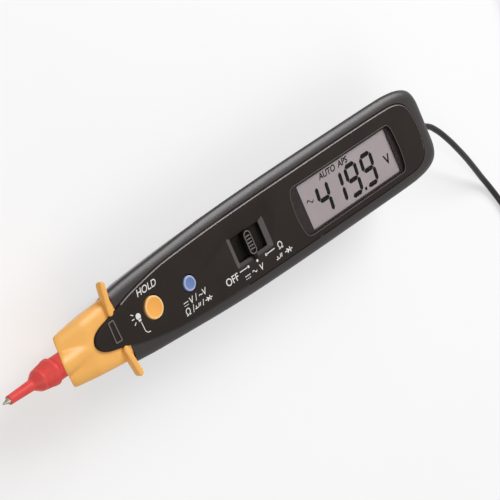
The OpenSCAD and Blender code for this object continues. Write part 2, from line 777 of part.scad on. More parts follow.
module switch_knob() color([0.15, 0.14, 0.13]) centred() {
    span([switch_x - slider_len/2, -slot_half_w - slider_side, slider_z - slider_t],
        [switch_x + slider_len/2, slot_half_w + slider_side, slider_z]);
    oval(knob_w, knob_len, slider_z - slider_t/2, knob_z);
    difference() {
        oval(knob_w, knob_len, knob_z - over/4, knob_z + knob_rib_h);
        oval(knob_w - 2*knob_rim, knob_len - 2*knob_rim, knob_z - over, knob_z + over);
    }
    for (i = [1:knob_ribs]) {
        y = (i/(knob_ribs + 1) - 1/2)*(knob_len - knob_w/2);
        span([switch_x - knob_w/2 + knob_rim/2, y - knob_rib_w/2, knob_z - over/4],
            [switch_x + knob_w/2 - knob_rim/2, y + knob_rib_w/2, knob_z + knob_rib_h]);
    }
    span([switch_x - pointer_w/2, -recess_w/2 - pointer_reach, face_z + set_gap],
        [switch_x + pointer_w/2, -knob_len/2 + knob_rim, face_z + set_gap + pointer_t/2]);
}

// An upright oval at the switch, long across the case
module oval(w, l, z0, z1) {
    for (s = [-1, 1]) rod_z(switch_x, s*(l - w)/2, z0, z1, w);
    span([switch_x - w/2, -(l - w)/2, z0], [switch_x + w/2, (l - w)/2, z1]);
}

module switch_wiper() color([0.85, 0.68, 0.35]) centred()
    for (s = [-1, 1]) {
        span([switch_x - pad_len, s*wiper_y - wiper_w/2, slider_z - slider_t - wiper_t],
            [switch_x + pad_len, s*wiper_y + wiper_w/2, slider_z - slider_t]);
        span([switch_x - wiper_t/2, s*wiper_y - wiper_w/2, board_z + pad_t + slide_gap],
            [switch_x + wiper_t/2, s*wiper_y + wiper_w/2, slider_z - slider_t]);
    }

module switch_contacts() color([0.9, 0.72, 0.3]) centred()
    for (i = [-1:1], s = [-1, 1])
        span([switch_x + i*switch_pitch - pad_len/2, s*wiper_y - pad_w/2, board_z],
            [switch_x + i*switch_pitch + pad_len/2, s*wiper_y + pad_w/2, board_z + pad_t]);

// Display

module display_window() color([0.85, 0.9, 0.92, 0.35]) centred()
    translate([0, 0, pocket_z]) linear_extrude(window_t) window_plan(window_gap);

module lcd_panel() color([0.66, 0.64, 0.62]) centred()
    span([lcd_x - lcd_border, lcd_y - lcd_w/2 - lcd_border_y, lcd_top_z - lcd_t],
        [lcd_x + lcd_len + lcd_border, lcd_y + lcd_w/2 + lcd_border_y, lcd_top_z]);

module lcd_frame() color([0.9, 0.9, 0.88]) centred() {
    grow = lcd_border + set_gap;
    grow_y = lcd_border_y + set_gap;
    low = [lcd_x - grow, lcd_y - lcd_w/2 - grow_y];
    high = [lcd_x + lcd_len + grow, lcd_y + lcd_w/2 + grow_y];
    difference() {
        span([low[0] - frame_t, low[1] - frame_t, board_z],
            [high[0] + frame_t, high[1] + frame_t, ceiling_z - slide_gap]);
        span([low[0], low[1], lcd_top_z - lcd_t], [high[0], high[1], face_z]);
        span([low[0] + frame_lip, low[1] + frame_lip, board_z - over],
            [high[0] - frame_lip, high[1] - frame_lip, face_z]);
        for (s = [0, 1]) zebra_room(s, set_gap);
    }
}

// Where a contact strip stands, under one long edge of the glass
module zebra_room(s, gap) {
    y = s == 0 ? lcd_y - lcd_w/2 - lcd_border_y + frame_lip : lcd_y + lcd_w/2 + lcd_border_y - frame_lip - zebra_t;
    span([lcd_x - gap, y - gap, board_z - (gap == 0 ? 0 : over)],
        [lcd_x + lcd_len + gap, y + zebra_t + gap, lcd_top_z - lcd_t + gap]);
}

module zebra_strips() color([0.85, 0.5, 0.55]) centred() for (s = [0, 1]) zebra_room(s, 0);

// Board

module circuit_board() color([0.12, 0.36, 0.2]) centred() difference() {
    translate([0, 0, board_low_z]) linear_extrude(board_t)
        polygon([[board_x, -board_front_half_w], [board_neck_x, -board_half_w], [board_end_x, -board_half_w],
            [board_end_x, board_half_w], [board_neck_x, board_half_w], [board_x, board_front_half_w]]);
    for (p = post_places) rod_z(p[0], p[1], board_low_z - over, board_z + over, post_hole_d);
    for (x = case_screw_places) rod_z(x, 0, board_low_z - over, board_z + over, boss_d + 2*boss_gap);
}

module board_screws() color([0.7, 0.7, 0.72]) centred()
    for (p = post_places) {
        rod_z(p[0], p[1], board_low_z - small_head_t, board_low_z, small_head_d);
        rod_z(p[0], p[1], board_low_z - small_head_t/2, board_low_z + small_screw_len, small_screw_d - set_gap);
    }

module buzzer() color([0.1, 0.1, 0.1]) centred() difference() {
    rod_z(buzzer_x, 0, board_low_z - buzzer_h, board_low_z, buzzer_d);
    rod_z(buzzer_x, 0, board_low_z - buzzer_h - over, board_low_z - buzzer_h/2, lead_d);
}

module main_chip() color([0.08, 0.08, 0.08]) centred()
    span([chip_x - chip_side/2, -chip_side/2, board_low_z - chip_t], [chip_x + chip_side/2, chip_side/2, board_low_z]);

module input_thermistor() color([0.85, 0.6, 0.25]) centred()
    rod_z(thermistor_x, 0, board_low_z - thermistor_t, board_low_z, thermistor_d);

module board_parts() color([0.75, 0.72, 0.66]) centred()
    for (i = part_x_shares, j = part_y_shares)
        translate([lcd_x + i*lcd_len, j*board_half_w - part_w/2, board_low_z - part_t]) cube([part_len, part_w, part_t]);

// Lamp

module lamp() color([0.95, 0.95, 0.9]) centred() {
    rod_x(lamp_tail_x - lamp_len, lamp_tail_x, lamp_d, 0, lamp_z);
    translate([lamp_tail_x - lamp_len, 0, lamp_z]) sphere(d = lamp_d);
    rod_x(guard_pocket_x, guard_pocket_x + lamp_flange_t, lamp_d + 2*lamp_flange, 0, lamp_z);
}

module lamp_leads() color([0.8, 0.8, 0.8]) centred()
    for (s = [-1, 1]) {
        rod_x(guard_pocket_x + lamp_flange_t, lamp_lead_x + lamp_lead_d/2, lamp_lead_d, s*lamp_lead_y, lamp_z);
        rod_z(lamp_lead_x, s*lamp_lead_y, lamp_z, board_low_z, lamp_lead_d);
    }

// Spring strip under the pin's end, resting on the board
module probe_contact() color([0.85, 0.68, 0.35]) centred() {
    strip_z = probe_z - pin_d/2 - set_gap;
    translate([0, contact_strip_w/2, 0]) rotate([90, 0, 0]) linear_extrude(contact_strip_w)
        polygon([[pin_end_x - 4*contact_strip_w, strip_z], [board_x, strip_z],
            [board_x + contact_strip_w, board_z + contact_strip_t], [contact_rest_x, board_z + contact_strip_t],
            [contact_rest_x, board_z], [board_x + contact_strip_w, board_z],
            [board_x, strip_z - contact_strip_t], [pin_end_x - 4*contact_strip_w, strip_z - contact_strip_t]]);
}

// Battery

module button_cells() color([0.78, 0.78, 0.8]) centred()
    for (i = [0, 1]) rod_z(cell_x + i*cell_pitch, 0, cell_z, cell_z + cell_h, cell_d);

module battery_contacts() color([0.8, 0.74, 0.5]) centred()
    for (i = [0, 1])
        span([cell_x + i*cell_pitch - cell_d/3, -cell_d/4, battery_roof_z - contact_t],
            [cell_x + i*cell_pitch + cell_d/3, cell_d/4, battery_roof_z]);

module battery_bridge() color([0.8, 0.74, 0.5]) centred()
    span([cell_x - cell_d/3, -cell_d/4, wall], [cell_x + cell_pitch + cell_d/3, cell_d/4, wall + bridge_t]);

// The cover is a length of the case's underside up to its edge
module battery_cover() color([0.17, 0.155, 0.15]) centred() difference() {
    union() {
        cover_shell();
        rod_z(cover_screw_x, 0, wall/2, cover_h, cover_boss_d);
    }
    rod_z(cover_screw_x, 0, -over, head_seat_z, screw_head_d + 2*bore_gap);
    rod_z(cover_screw_x, 0, 0, cover_h + over, screw_d + 2*bore_gap);
}

module cover_shell() {
    outer = half_section(half_w, shoulder_z, 0, shoulder_drop);
    foot = [for (i = [shoulder_steps + 2:len(outer) - 1]) outer[i]];
    edge_y = half_w - (shoulder_z - shoulder_drop - cover_h)*tan(wall_lean);
    floor_y = edge_y - (cover_h - wall)*tan(wall_lean) - side_inset;
    right = concat([[edge_y, cover_h]], foot);
    inner = [[edge_y - side_inset, cover_h], [floor_y, wall]];
    left = [for (i = [len(right) - 1:-1:0]) [-right[i][0], right[i][1]]];
    translate([cover_x, 0, 0]) rotate([90, 0, 90]) linear_extrude(cover_len)
        polygon(concat(right, left, [[-inner[0][0], inner[0][1]], [-inner[1][0], inner[1][1]]], [inner[1], inner[0]]));
}

module flat_screw(x, end_z) {
    rod_z(x, 0, head_seat_z - head_t, head_seat_z, screw_head_d);
    rod_z(x, 0, head_seat_z - head_t/2, end_z, screw_d - 2*bore_gap);
}

module cover_screw() color([0.6, 0.6, 0.62]) centred() flat_screw(cover_screw_x, battery_roof_z - set_gap);

module case_screws() color([0.6, 0.6, 0.62]) centred() for (x = case_screw_places) flat_screw(x, screw_end_z);

// Lead

module lead_bushing() color([0.1, 0.1, 0.1]) centred() difference() {
    union() {
        rod_x(total_len - bushing_wall_t, total_len, boot_d, lead_y, lead_z);
        translate([total_len, lead_y, lead_z]) rotate([0, 90, 0]) cylinder(d1 = boot_d, d2 = boot_end_d, h = boot_len);
        rod_x(total_len - bushing_wall_t - bushing_flange_t, total_len - bushing_wall_t, bushing_flange_d, lead_y, lead_z);
    }
    rod_x(0, 2*total_len, lead_d + 2*fit, lead_y, lead_z);
}

module lead_core() color([0.12, 0.12, 0.12]) centred() rod_x(core_x, boot_end_x, lead_d, lead_y, lead_z);

module lead_terminal() color([0.8, 0.78, 0.7]) centred() rod_z(core_x + lead_d/2, lead_y, lead_z + lead_d/2, board_low_z, terminal_d);

function unit(v) = v/norm(v);

// A ring of points round p, square to direction t, clockwise as seen against t
function ring(p, t, r, sides) =
    let (across = unit(cross([0, 0, 1], t)), up = cross(t, across))
    [for (k = [0:sides - 1]) let (a = 360*k/sides + 180/sides) p + r*(cos(a)*across - sin(a)*up)];

// Rings along a path; each is square to the line between its neighbours
function path_rings(path, r, sides) =
    let (last = len(path) - 1)
    [for (i = [0:last]) ring(path[i], unit(path[min(i + 1, last)] - path[max(i - 1, 0)]), r, sides)];

module lead_stretch() color([0.12, 0.12, 0.12]) from_rear() skin(path_rings(stretch_points, lead_d/2, stretch_sides));

module lead_tail() color([0.12, 0.12, 0.12]) from_rear() skin(path_rings(tail_points, lead_d/2, stretch_sides));

// The coil spirals in, climbs a layer in the half turn where it reverses, and spirals out on top
function coil_point(u) =
    let (in_turns = min(u, coil_turns - u), r = coil_r - coil_step*in_turns,
        climb = min(1, max(0, 2*(u - coil_turns/2) + 1/2)),
        a = coil_start_angle + 360*u)
    [coil_centre[0] + r*cos(a), coil_centre[1] + r*sin(a), coil_low_z + coil_layer*climb];

coil_count = coil_turns*coil_rings;
coil_wound = [for (i = [0:coil_count]) coil_point(i/coil_rings)];
coil_way = concat([coil_wound[0] + [0, coil_straight, 0]], coil_wound,
    [coil_wound[coil_count] + [coil_straight, 0, 0]]);

module lead_coil() color([0.12, 0.12, 0.12]) from_rear() skin(path_rings(coil_way, lead_d/2, coil_sides));

// Least distance between points of the coil that are more than half a turn apart along it
least_gap = min([for (i = [0:coil_count], j = [i + coil_rings/2:coil_count])
    norm(coil_wound[i] - coil_wound[j])]) - lead_d;
echo(least_gap_of_coil = least_gap);

// Second probe

module far_axis() translate([far_x, far_y, far_z]) rotate([-90, 0, 0]) children();

module lead_probe_handle() color([0.13, 0.13, 0.13]) from_rear() far_axis() difference() {
    rotate_extrude() polygon(concat([[0, 0]],
        [for (i = [0:len(far_len_shares) - 1]) [far_r_shares[i]*far_guard_d/2, far_len_shares[i]*far_probe_len]],
        [[0, far_len_shares[len(far_len_shares) - 1]*far_probe_len]]));
    translate([0, 0, far_pin_share*far_probe_len]) cylinder(d = pin_d, h = far_probe_len);
}

module lead_probe_pin() color([0.75, 0.73, 0.7]) from_rear() far_axis() {
    translate([0, 0, far_pin_share*far_probe_len])
        cylinder(d = pin_d, h = far_probe_len - pin_point - far_pin_share*far_probe_len);
    translate([0, 0, far_probe_len - pin_point]) cylinder(d1 = pin_d, d2 = pin_flat_d, h = pin_point);
}

upper_case();
lower_case();
nose_guard();
probe_pin();
probe_collar();
probe_sleeve();
hold_button();
select_button();
switch_knob();
switch_wiper();
switch_contacts();
display_window();
lcd_panel();
lcd_frame();
zebra_strips();
circuit_board();
dome_switches();
main_chip();
board_parts();
board_screws();
buzzer();
input_thermistor();
lamp();
lamp_leads();
probe_contact();
button_cells();
battery_contacts();
battery_bridge();
battery_cover();
cover_screw();
case_screws();
lead_bushing();
lead_core();
lead_terminal();
lead_stretch();
lead_coil();
lead_tail();
lead_probe_handle();
lead_probe_pin();
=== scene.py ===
import math

import bmesh
import bpy
import numpy as np
from mathutils import Matrix, Vector


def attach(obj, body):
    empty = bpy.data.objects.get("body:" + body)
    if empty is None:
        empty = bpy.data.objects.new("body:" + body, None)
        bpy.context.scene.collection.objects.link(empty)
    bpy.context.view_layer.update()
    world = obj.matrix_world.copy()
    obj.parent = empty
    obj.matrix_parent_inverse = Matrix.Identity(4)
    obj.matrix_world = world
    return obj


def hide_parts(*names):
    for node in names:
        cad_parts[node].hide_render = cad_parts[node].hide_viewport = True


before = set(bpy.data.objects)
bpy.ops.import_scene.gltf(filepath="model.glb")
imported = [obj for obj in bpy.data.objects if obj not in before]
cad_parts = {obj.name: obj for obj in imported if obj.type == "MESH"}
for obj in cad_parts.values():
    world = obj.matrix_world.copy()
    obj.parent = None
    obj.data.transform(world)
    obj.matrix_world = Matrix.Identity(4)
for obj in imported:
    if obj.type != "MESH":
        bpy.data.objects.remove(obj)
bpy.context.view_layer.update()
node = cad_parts

# Sizes are in millimetres from the probe tip, as in the part's source, and row() turns them into the
# frame's metres. The points of the lead count from the rear of the case instead.
TIP_TO_ORIGIN = 94.2
REAR = 89.2


def row(x, y, z):
    return Vector(((x - TIP_TO_ORIGIN) / 1000, y / 1000, z / 1000))


def from_rear(x, y, z):
    return Vector(((x + REAR) / 1000, y / 1000, z / 1000))


def in_mm(v):
    """A point of the frame in millimetres from the probe tip."""
    return v.x * 1000 + TIP_TO_ORIGIN, v.y * 1000, v.z * 1000


def add(name, data):
    obj = bpy.data.objects.new(name, data)
    bpy.context.scene.collection.objects.link(obj)
    return obj


# Camera: the photograph's own viewing angle
PICTURE_PX, FOCAL_PX, SENSOR_MM = 500, 2752, 36
cam = add("camera", bpy.data.cameras.new("camera"))
bpy.context.scene.camera = cam
right = Vector((0.6472482, -0.38756451, 0.65640195))
down = Vector((-0.44061817, -0.89289297, -0.09272415))
forward = Vector((0.62203328, -0.22920708, -0.74869133))
turn = Matrix((right, -down, -forward)).transposed().to_4x4()
cam.matrix_world = Matrix.Translation((-0.49175, 0.18025, 0.62133)) @ turn
cam.data.sensor_width = SENSOR_MM
cam.data.lens = FOCAL_PX / PICTURE_PX * SENSOR_MM
cam.data.clip_start = 0.05
cam.data.clip_end = 20


# Small helpers for meshes and materials

def circle(steps):
    """Angles once round, evenly spaced."""
    return [2 * math.pi * k / steps for k in range(steps)]


def quarter(steps):
    """Angles from 0 to a right angle, both included."""
    return [math.pi / 2 * i / steps for i in range(steps + 1)]


def smooth(obj, angle):
    for p in obj.data.polygons:
        p.use_smooth = True
    obj.data.set_sharp_from_angle(angle=math.radians(angle))
    return obj


def skin(name, rings, caps=True):
    """A closed skin through rings of equally many points."""
    n = len(rings[0])
    points = [tuple(p) for ring in rings for p in ring]
    faces = []
    for i in range(len(rings) - 1):
        for j in range(n):
            a, b = i * n + j, i * n + (j + 1) % n
            faces.append((a, b, b + n, a + n))
    if caps:
        faces.append(tuple(range(n))[::-1])
        faces.append(tuple(range((len(rings) - 1) * n, len(rings) * n)))
    mesh = bpy.data.meshes.new(name)
    mesh.from_pydata(points, [], faces)
    mesh.validate()
    bm = bmesh.new()
    bm.from_mesh(mesh)
    bmesh.ops.remove_doubles(bm, verts=bm.verts, dist=1e-7)
    bmesh.ops.recalc_face_normals(bm, faces=bm.faces)
    bm.to_mesh(mesh)
    bm.free()
    return add(name, mesh)


def turned(name, profile, place, axis="z", steps=64):
    """A solid of revolution: profile is (radius, height) from the bottom to the top."""
    rings = []
    for r, h in profile:
        spots = [(r * math.cos(a), r * math.sin(a)) for a in circle(steps)]
        rings.append([place(u, v, h) if axis == "z" else place(h, u, v) for u, v in spots])
    return skin(name, rings)


def bore(x, z0, z1, d):
    """An upright round cutter on the middle line."""
    return turned("cut", [(d / 2, z0), (d / 2, z1)], lambda u, v, h: row(x + u, v, h))


def rod(name, r, x0, x1, y, z):
    """A straight round bar along X."""
    return turned(name, [(r, x0), (r, x1)], lambda h, u, v: row(h, y + u, z + v), axis="x")


def prism(name, outline, z0, z1):
    """An upright prism over an outline of (x, y) points."""
    return skin(name, [[row(x, y, z) for x, y in outline] for z in (z0, z1)])


def block(low, high):
    """A cutter with straight sides, from its lowest corner to its highest."""
    corners = [(low[1], low[2]), (high[1], low[2]), (high[1], high[2]), (low[1], high[2])]
    return skin("cut", [[row(x, y, z) for y, z in corners] for x in (low[0], high[0])])


def rounded_box(name, low, high, radius):
    """A box with rounded edges, from its lowest corner to its highest."""
    bm = bmesh.new()
    bmesh.ops.create_cube(bm, size=1)
    lo, hi = row(*low), row(*high)
    for v in bm.verts:
        v.co = Vector([lo[i] if v.co[i] < 0 else hi[i] for i in range(3)])
    bmesh.ops.bevel(bm, geom=bm.edges[:], offset=radius / 1000, segments=3, profile=0.5, affect="EDGES")
    bmesh.ops.recalc_face_normals(bm, faces=bm.faces)
    mesh = bpy.data.meshes.new(name)
    bm.to_mesh(mesh)
    bm.free()
    return smooth(add(name, mesh), 60)


def fillet(profile, radius, steps=5):
    """Rounds the inner corners of an open profile of (r, h) points."""
    out = [profile[0]]
    for i in range(1, len(profile) - 1):
        p, a, b = Vector(profile[i]), Vector(profile[i - 1]), Vector(profile[i + 1])
        cut = min(radius, (a - p).length * 0.45, (b - p).length * 0.45)
        p0, p1 = p + (a - p).normalized() * cut, p + (b - p).normalized() * cut
        for k in range(steps + 1):
            t = k / steps
            q = p0 * (1 - t) ** 2 + p * 2 * t * (1 - t) + p1 * t * t
            out.append((q.x, q.y))
    out.append(profile[-1])
    return out


def joined(name, *objs):
    """One object from several, with each face's material index kept."""
    bm = bmesh.new()
    for o in objs:
        m = o.data.copy()
        m.transform(o.matrix_world)
        bm.from_mesh(m)
        bpy.data.meshes.remove(m)
    mesh = bpy.data.meshes.new(name)
    bm.to_mesh(mesh)
    bm.free()
    for o in objs:
        bpy.data.objects.remove(o)
    return add(name, mesh)


def carved(obj, cutters):
    """Cuts obj by closed meshes, which are then removed."""
    for c in cutters:
        m = obj.modifiers.new("cut", "BOOLEAN")
        m.operation = "DIFFERENCE"
        m.solver = "EXACT"
        m.object = c
        graph = bpy.context.evaluated_depsgraph_get()
        done = bpy.data.meshes.new_from_object(obj.evaluated_get(graph))
        obj.modifiers.clear()
        old = obj.data
        obj.data = done
        bpy.data.meshes.remove(old)
        bpy.data.objects.remove(c)
    return obj


def monotone(xs, ys):
    """A smooth curve through points that adds no bumps of its own."""
    xs, ys = np.array(xs, float), np.array(ys, float)
    h, d = np.diff(xs), np.diff(ys) / np.diff(xs)
    m = np.zeros(len(xs))
    for i in range(1, len(xs) - 1):
        if d[i - 1] * d[i] > 0:
            w1, w2 = 2 * h[i] + h[i - 1], h[i] + 2 * h[i - 1]
            m[i] = (w1 + w2) / (w1 / d[i - 1] + w2 / d[i])
    m[0], m[-1] = d[0], d[-1]

    def at(x):
        i = int(min(max(np.searchsorted(xs, x) - 1, 0), len(h) - 1))
        t = (min(max(x, xs[0]), xs[-1]) - xs[i]) / h[i]
        return float(
            ys[i] * (1 + 2 * t) * (1 - t) ** 2
            + m[i] * h[i] * t * (1 - t) ** 2
            + ys[i + 1] * t * t * (3 - 2 * t)
            + m[i + 1] * h[i] * t * t * (t - 1)
        )

    return at


class Nodes:
    """Short hand for building a material's nodes."""

    def __init__(self, name):
        self.mat = bpy.data.materials.new(name)
        self.mat.use_nodes = True
        self.tree = self.mat.node_tree
        self.shader = self.tree.nodes["Principled BSDF"]
        self.coords = self.tree.nodes.new("ShaderNodeTexCoord").outputs["Object"]

    def noise(self, scale, detail):
        n = self.tree.nodes.new("ShaderNodeTexNoise")
        n.inputs["Scale"].default_value = scale
        n.inputs["Detail"].default_value = detail
        n.inputs["Roughness"].default_value = 0.6
        self.tree.links.new(self.coords, n.inputs["Vector"])
        return n.outputs["Fac"]

    def ramp(self, value, dark, light, margin=0.3):
        r = self.tree.nodes.new("ShaderNodeValToRGB")
        for stop, at, colour in zip(r.color_ramp.elements, (margin, 1 - margin), (dark, light)):
            stop.position = at
            stop.color = (*colour, 1)
        self.tree.links.new(value, r.inputs["Fac"])
        return r.outputs["Color"]

    def spread(self, value, low, high):
        m = self.tree.nodes.new("ShaderNodeMapRange")
        m.inputs["To Min"].default_value = low
        m.inputs["To Max"].default_value = high
        self.tree.links.new(value, m.inputs["Value"])
        return m.outputs["Result"]

    def bump(self, value, strength, distance):
        b = self.tree.nodes.new("ShaderNodeBump")
        b.inputs["Strength"].default_value = strength
        b.inputs["Distance"].default_value = distance
        self.tree.links.new(value, b.inputs["Height"])
        self.tree.links.new(b.outputs["Normal"], self.shader.inputs["Normal"])

    def set(self, **sockets):
        for k, v in sockets.items():
            self.shader.inputs[k.replace("_", " ")].default_value = v

    def link(self, value, socket):
        self.tree.links.new(value, self.shader.inputs[socket])


def plastic(name, dark, light, rough, grain, bump, level):
    """Moulded plastic: slow colour drift, fine grain in the gloss and in the surface."""
    n = Nodes(name)
    n.link(n.ramp(n.noise(90, 5), dark, light), "Base Color")
    n.link(n.spread(n.noise(grain / 6, 3), *rough), "Roughness")
    n.bump(n.noise(grain, 2), bump, 0.00004)
    n.set(Specular_IOR_Level=level)
    return n.mat


def metal(name, dark, light, rough):
    """Turned or drawn metal: fine lines along one direction."""
    n = Nodes(name)
    m = n.tree.nodes.new("ShaderNodeMapping")
    m.inputs["Scale"].default_value = (60, 2500, 2500)
    n.tree.links.new(n.coords, m.inputs["Vector"])
    t = n.tree.nodes.new("ShaderNodeTexNoise")
    t.inputs["Scale"].default_value = 1.0
    t.inputs["Detail"].default_value = 4
    n.tree.links.new(m.outputs["Vector"], t.inputs["Vector"])
    n.link(n.ramp(t.outputs["Fac"], dark, light), "Base Color")
    n.link(n.spread(t.outputs["Fac"], *rough), "Roughness")
    n.bump(t.outputs["Fac"], 0.05, 0.00003)
    n.set(Metallic=1.0)
    return n.mat


def film(name, drift, dark, light, gloss, rough, margin=0.3, **sockets):
    """An even surface: its colour drifts slowly and its gloss follows a finer noise."""
    n = Nodes(name)
    n.link(n.ramp(n.noise(drift, 3), dark, light, margin), "Base Color")
    n.link(n.spread(n.noise(*gloss), *rough), "Roughness")
    n.set(**sockets)
    return n


def dress(obj, material, body=None):
    obj.data.materials.clear()
    obj.data.materials.append(material)
    if body:
        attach(obj, body)
    return obj


# Materials: two shades of the colour, the range of roughness, then grain, bump and gloss level of plastics
case_mat = plastic("case_plastic", (0.012, 0.0072, 0.0078), (0.0165, 0.0105, 0.011),
                   (0.28, 0.36), 3200, 0.12, 0.44)
face_mat = plastic("face_plastic", (0.0205, 0.0155, 0.0128), (0.026, 0.02, 0.0166),
                   (0.52, 0.6), 3600, 0.12, 0.08)
guard_mat = plastic("guard_plastic", (0.92, 0.455, 0.092), (0.95, 0.49, 0.112), (0.34, 0.42), 2600, 0.06, 0.5)
red_mat = plastic("probe_plastic", (0.76, 0.056, 0.046), (0.83, 0.078, 0.066), (0.34, 0.44), 2400, 0.08, 0.35)
orange_mat = plastic("orange_button_plastic", (0.9, 0.395, 0.068), (0.94, 0.43, 0.082),
                     (0.42, 0.5), 2600, 0.06, 0.4)
blue_mat = plastic("blue_button_plastic", (0.12, 0.195, 0.42), (0.146, 0.225, 0.474),
                   (0.42, 0.5), 2600, 0.06, 0.4)
# Painted highlights: lighter copies of the button colours for the rims of the button tops
orange_rim_highlight = plastic("orange_rim_painted_highlight", (0.93, 0.58, 0.23), (0.96, 0.62, 0.26),
                     (0.38, 0.46), 2600, 0.05, 0.5)
blue_rim_highlight = plastic("blue_rim_painted_highlight", (0.34, 0.42, 0.61), (0.4, 0.48, 0.67), (0.38, 0.46), 2600, 0.05, 0.5)
knob_mat = plastic("knob_plastic", (0.007, 0.0055, 0.0042), (0.011, 0.009, 0.007),
                   (0.55, 0.65), 3000, 0.12, 0.08)
rib_mat = plastic("knob_rib_plastic", (0.1, 0.085, 0.075), (0.14, 0.12, 0.105), (0.4, 0.5), 3000, 0.1, 0.5)
# Painted highlight: a lighter copy of the face plastic for the face's lit edges
face_edge_highlight_mat = plastic("face_edge_painted_highlight", (0.17, 0.145, 0.14), (0.21, 0.18, 0.175), (0.28, 0.36), 3000, 0.06, 0.6)
# Painted highlight for the bevels of the switch recess, then a darker copy of it for the bevel that faces +Y
bevel_highlight_mat = plastic("recess_bevel_painted_highlight", (0.055, 0.047, 0.044), (0.068, 0.059, 0.056),
                    (0.45, 0.55), 3000, 0.1, 0.4)
bevel_darker_copy_mat = plastic("recess_bevel_darker_copy", (0.026, 0.0225, 0.021), (0.034, 0.03, 0.028),
                    (0.5, 0.6), 3000, 0.1, 0.2)
bezel_mat = plastic("window_bezel_plastic", (0.02, 0.0125, 0.0115), (0.026, 0.0165, 0.0155),
                    (0.5, 0.6), 3200, 0.1, 0.15)
ink_mat = plastic("white_ink", (0.76, 0.75, 0.72), (0.84, 0.83, 0.8), (0.5, 0.6), 4000, 0.05, 0.3)
frame_mat = plastic("holder_plastic", (0.66, 0.65, 0.62), (0.74, 0.73, 0.7), (0.5, 0.6), 2600, 0.06, 0.4)
rubber_pink = plastic("strip_rubber", (0.55, 0.2, 0.24), (0.66, 0.27, 0.3), (0.6, 0.75), 5000, 0.15, 0.3)
lead_mat = plastic("lead_rubber", (0.01, 0.008, 0.0075), (0.014, 0.0115, 0.0105), (0.26, 0.36), 3500, 0.12, 0.3)
board_mat = plastic("board_lacquer", (0.012, 0.12, 0.05), (0.02, 0.18, 0.08), (0.22, 0.36), 1500, 0.06, 0.6)
chip_mat = plastic("chip_resin", (0.01, 0.01, 0.011), (0.018, 0.018, 0.019), (0.55, 0.7), 5000, 0.2, 0.4)
tan_mat = plastic("thermistor_coating", (0.5, 0.24, 0.05), (0.62, 0.32, 0.08), (0.4, 0.55), 2500, 0.12, 0.5)
steel_mat = metal("pin_steel", (0.22, 0.2, 0.165), (0.4, 0.37, 0.31), (0.14, 0.26))
screw_mat = metal("screw_steel", (0.4, 0.4, 0.41), (0.58, 0.58, 0.59), (0.28, 0.4))
brass_mat = metal("contact_brass", (0.62, 0.44, 0.17), (0.8, 0.6, 0.27), (0.2, 0.34))
cell_mat = metal("cell_steel", (0.5, 0.5, 0.52), (0.64, 0.64, 0.66), (0.24, 0.36))
tin_mat = metal("tinned_copper", (0.55, 0.54, 0.52), (0.74, 0.72, 0.7), (0.25, 0.4))

# Display film, display ink, lens and lamp
lcd_film = film("display_film", 60, (0.358, 0.31, 0.315), (0.402, 0.352, 0.357), (700, 3), (0.35, 0.5), 0.25,
                Specular_IOR_Level=0.35)
lcd_film.bump(lcd_film.noise(5000, 2), 0.05, 0.00002)
lcd_mat = lcd_film.mat
segment_mat = film("display_ink", 300, (0.003, 0.003, 0.003), (0.006, 0.0055, 0.0055), (900, 2), (0.5, 0.6),
                   Specular_IOR_Level=0.06).mat
window_mat = film("window_acrylic", 200, (0.1, 0.1, 0.11), (0.14, 0.14, 0.15), (600, 3), (0.05, 0.1),
                  Alpha=0.02, Specular_IOR_Level=0.3).mat
lamp_mat = film("lamp_resin", 500, (0.84, 0.84, 0.78), (0.92, 0.92, 0.88), (600, 3), (0.08, 0.16),
                Transmission_Weight=0.4, Specular_IOR_Level=0.6).mat

# The lead: one line from the strain relief through the coil to the second probe
LEAD_D, LEAD_Y, LEAD_Z = 2.0, -3.9, 14
COIL_CENTRE, COIL_R, COIL_TURNS, COIL_RINGS = (58, -63), 15, 7.25, 24
COIL_STEP, COIL_LAYER, COIL_LOW = 2.5, 2.5, 1
stretch_points = [
    (5, LEAD_Y, LEAD_Z), (7, LEAD_Y, LEAD_Z), (10.5, -5, 13.7), (14, -7.7, 13), (18.5, -12.7, 11.7),
    (23, -18.2, 9.8), (27.5, -23.6, 7.4), (31.5, -28.6, 5), (35, -33, 2.8), (37.8, -37.2, 1.5),
    (39.8, -41.5, 1), (41.2, -46, 1), (42.2, -50.5, 1), (42.8, -55, 1), (43, -59, 1),
]
tail_points = [
    (62, -78, 3.5), (66, -78, 2.9), (70, -77.6, 2.2), (74, -76, 1.8), (77.4, -73.4, 2.2),
    (79.6, -70.4, 3.2), (80.8, -67.4, 4.4), (81, -65, 5), (81, -63, 5),
]


def coil_point(u):
    """A point of the coil after u turns: inwards on the floor, then outwards on top of the first layer."""
    inward = min(u, COIL_TURNS - u)
    r = COIL_R - COIL_STEP * inward
    climb = min(1, max(0, 2 * (u - COIL_TURNS / 2) + 0.5))
    a = math.pi + 2 * math.pi * u
    return COIL_CENTRE[0] + r * math.cos(a), COIL_CENTRE[1] + r * math.sin(a), COIL_LOW + COIL_LAYER * climb


coil_points = [coil_point(i / COIL_RINGS) for i in range(int(COIL_TURNS * COIL_RINGS) + 1)]
lead_path = [from_rear(*p) for p in stretch_points + coil_points + tail_points]
lead_curve = bpy.data.curves.new("test_lead", "CURVE")
lead_curve.dimensions = "3D"
spline = lead_curve.splines.new("BEZIER")
spline.bezier_points.add(len(lead_path) - 1)
for point, p in zip(spline.bezier_points, lead_path):
    point.co = p
    point.handle_left_type = point.handle_right_type = "AUTO"
lead_curve.bevel_depth = LEAD_D / 2000
lead_curve.bevel_resolution = 5
lead_curve.resolution_u = 6
lead_curve.use_fill_caps = True
lead = add("test_lead", lead_curve)
lead_curve.materials.append(lead_mat)
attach(lead, "case")
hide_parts("lead_stretch", "lead_coil", "lead_tail")
print("lead length", round(sum((b - a).length for a, b in zip(lead_path, lead_path[1:])), 4))

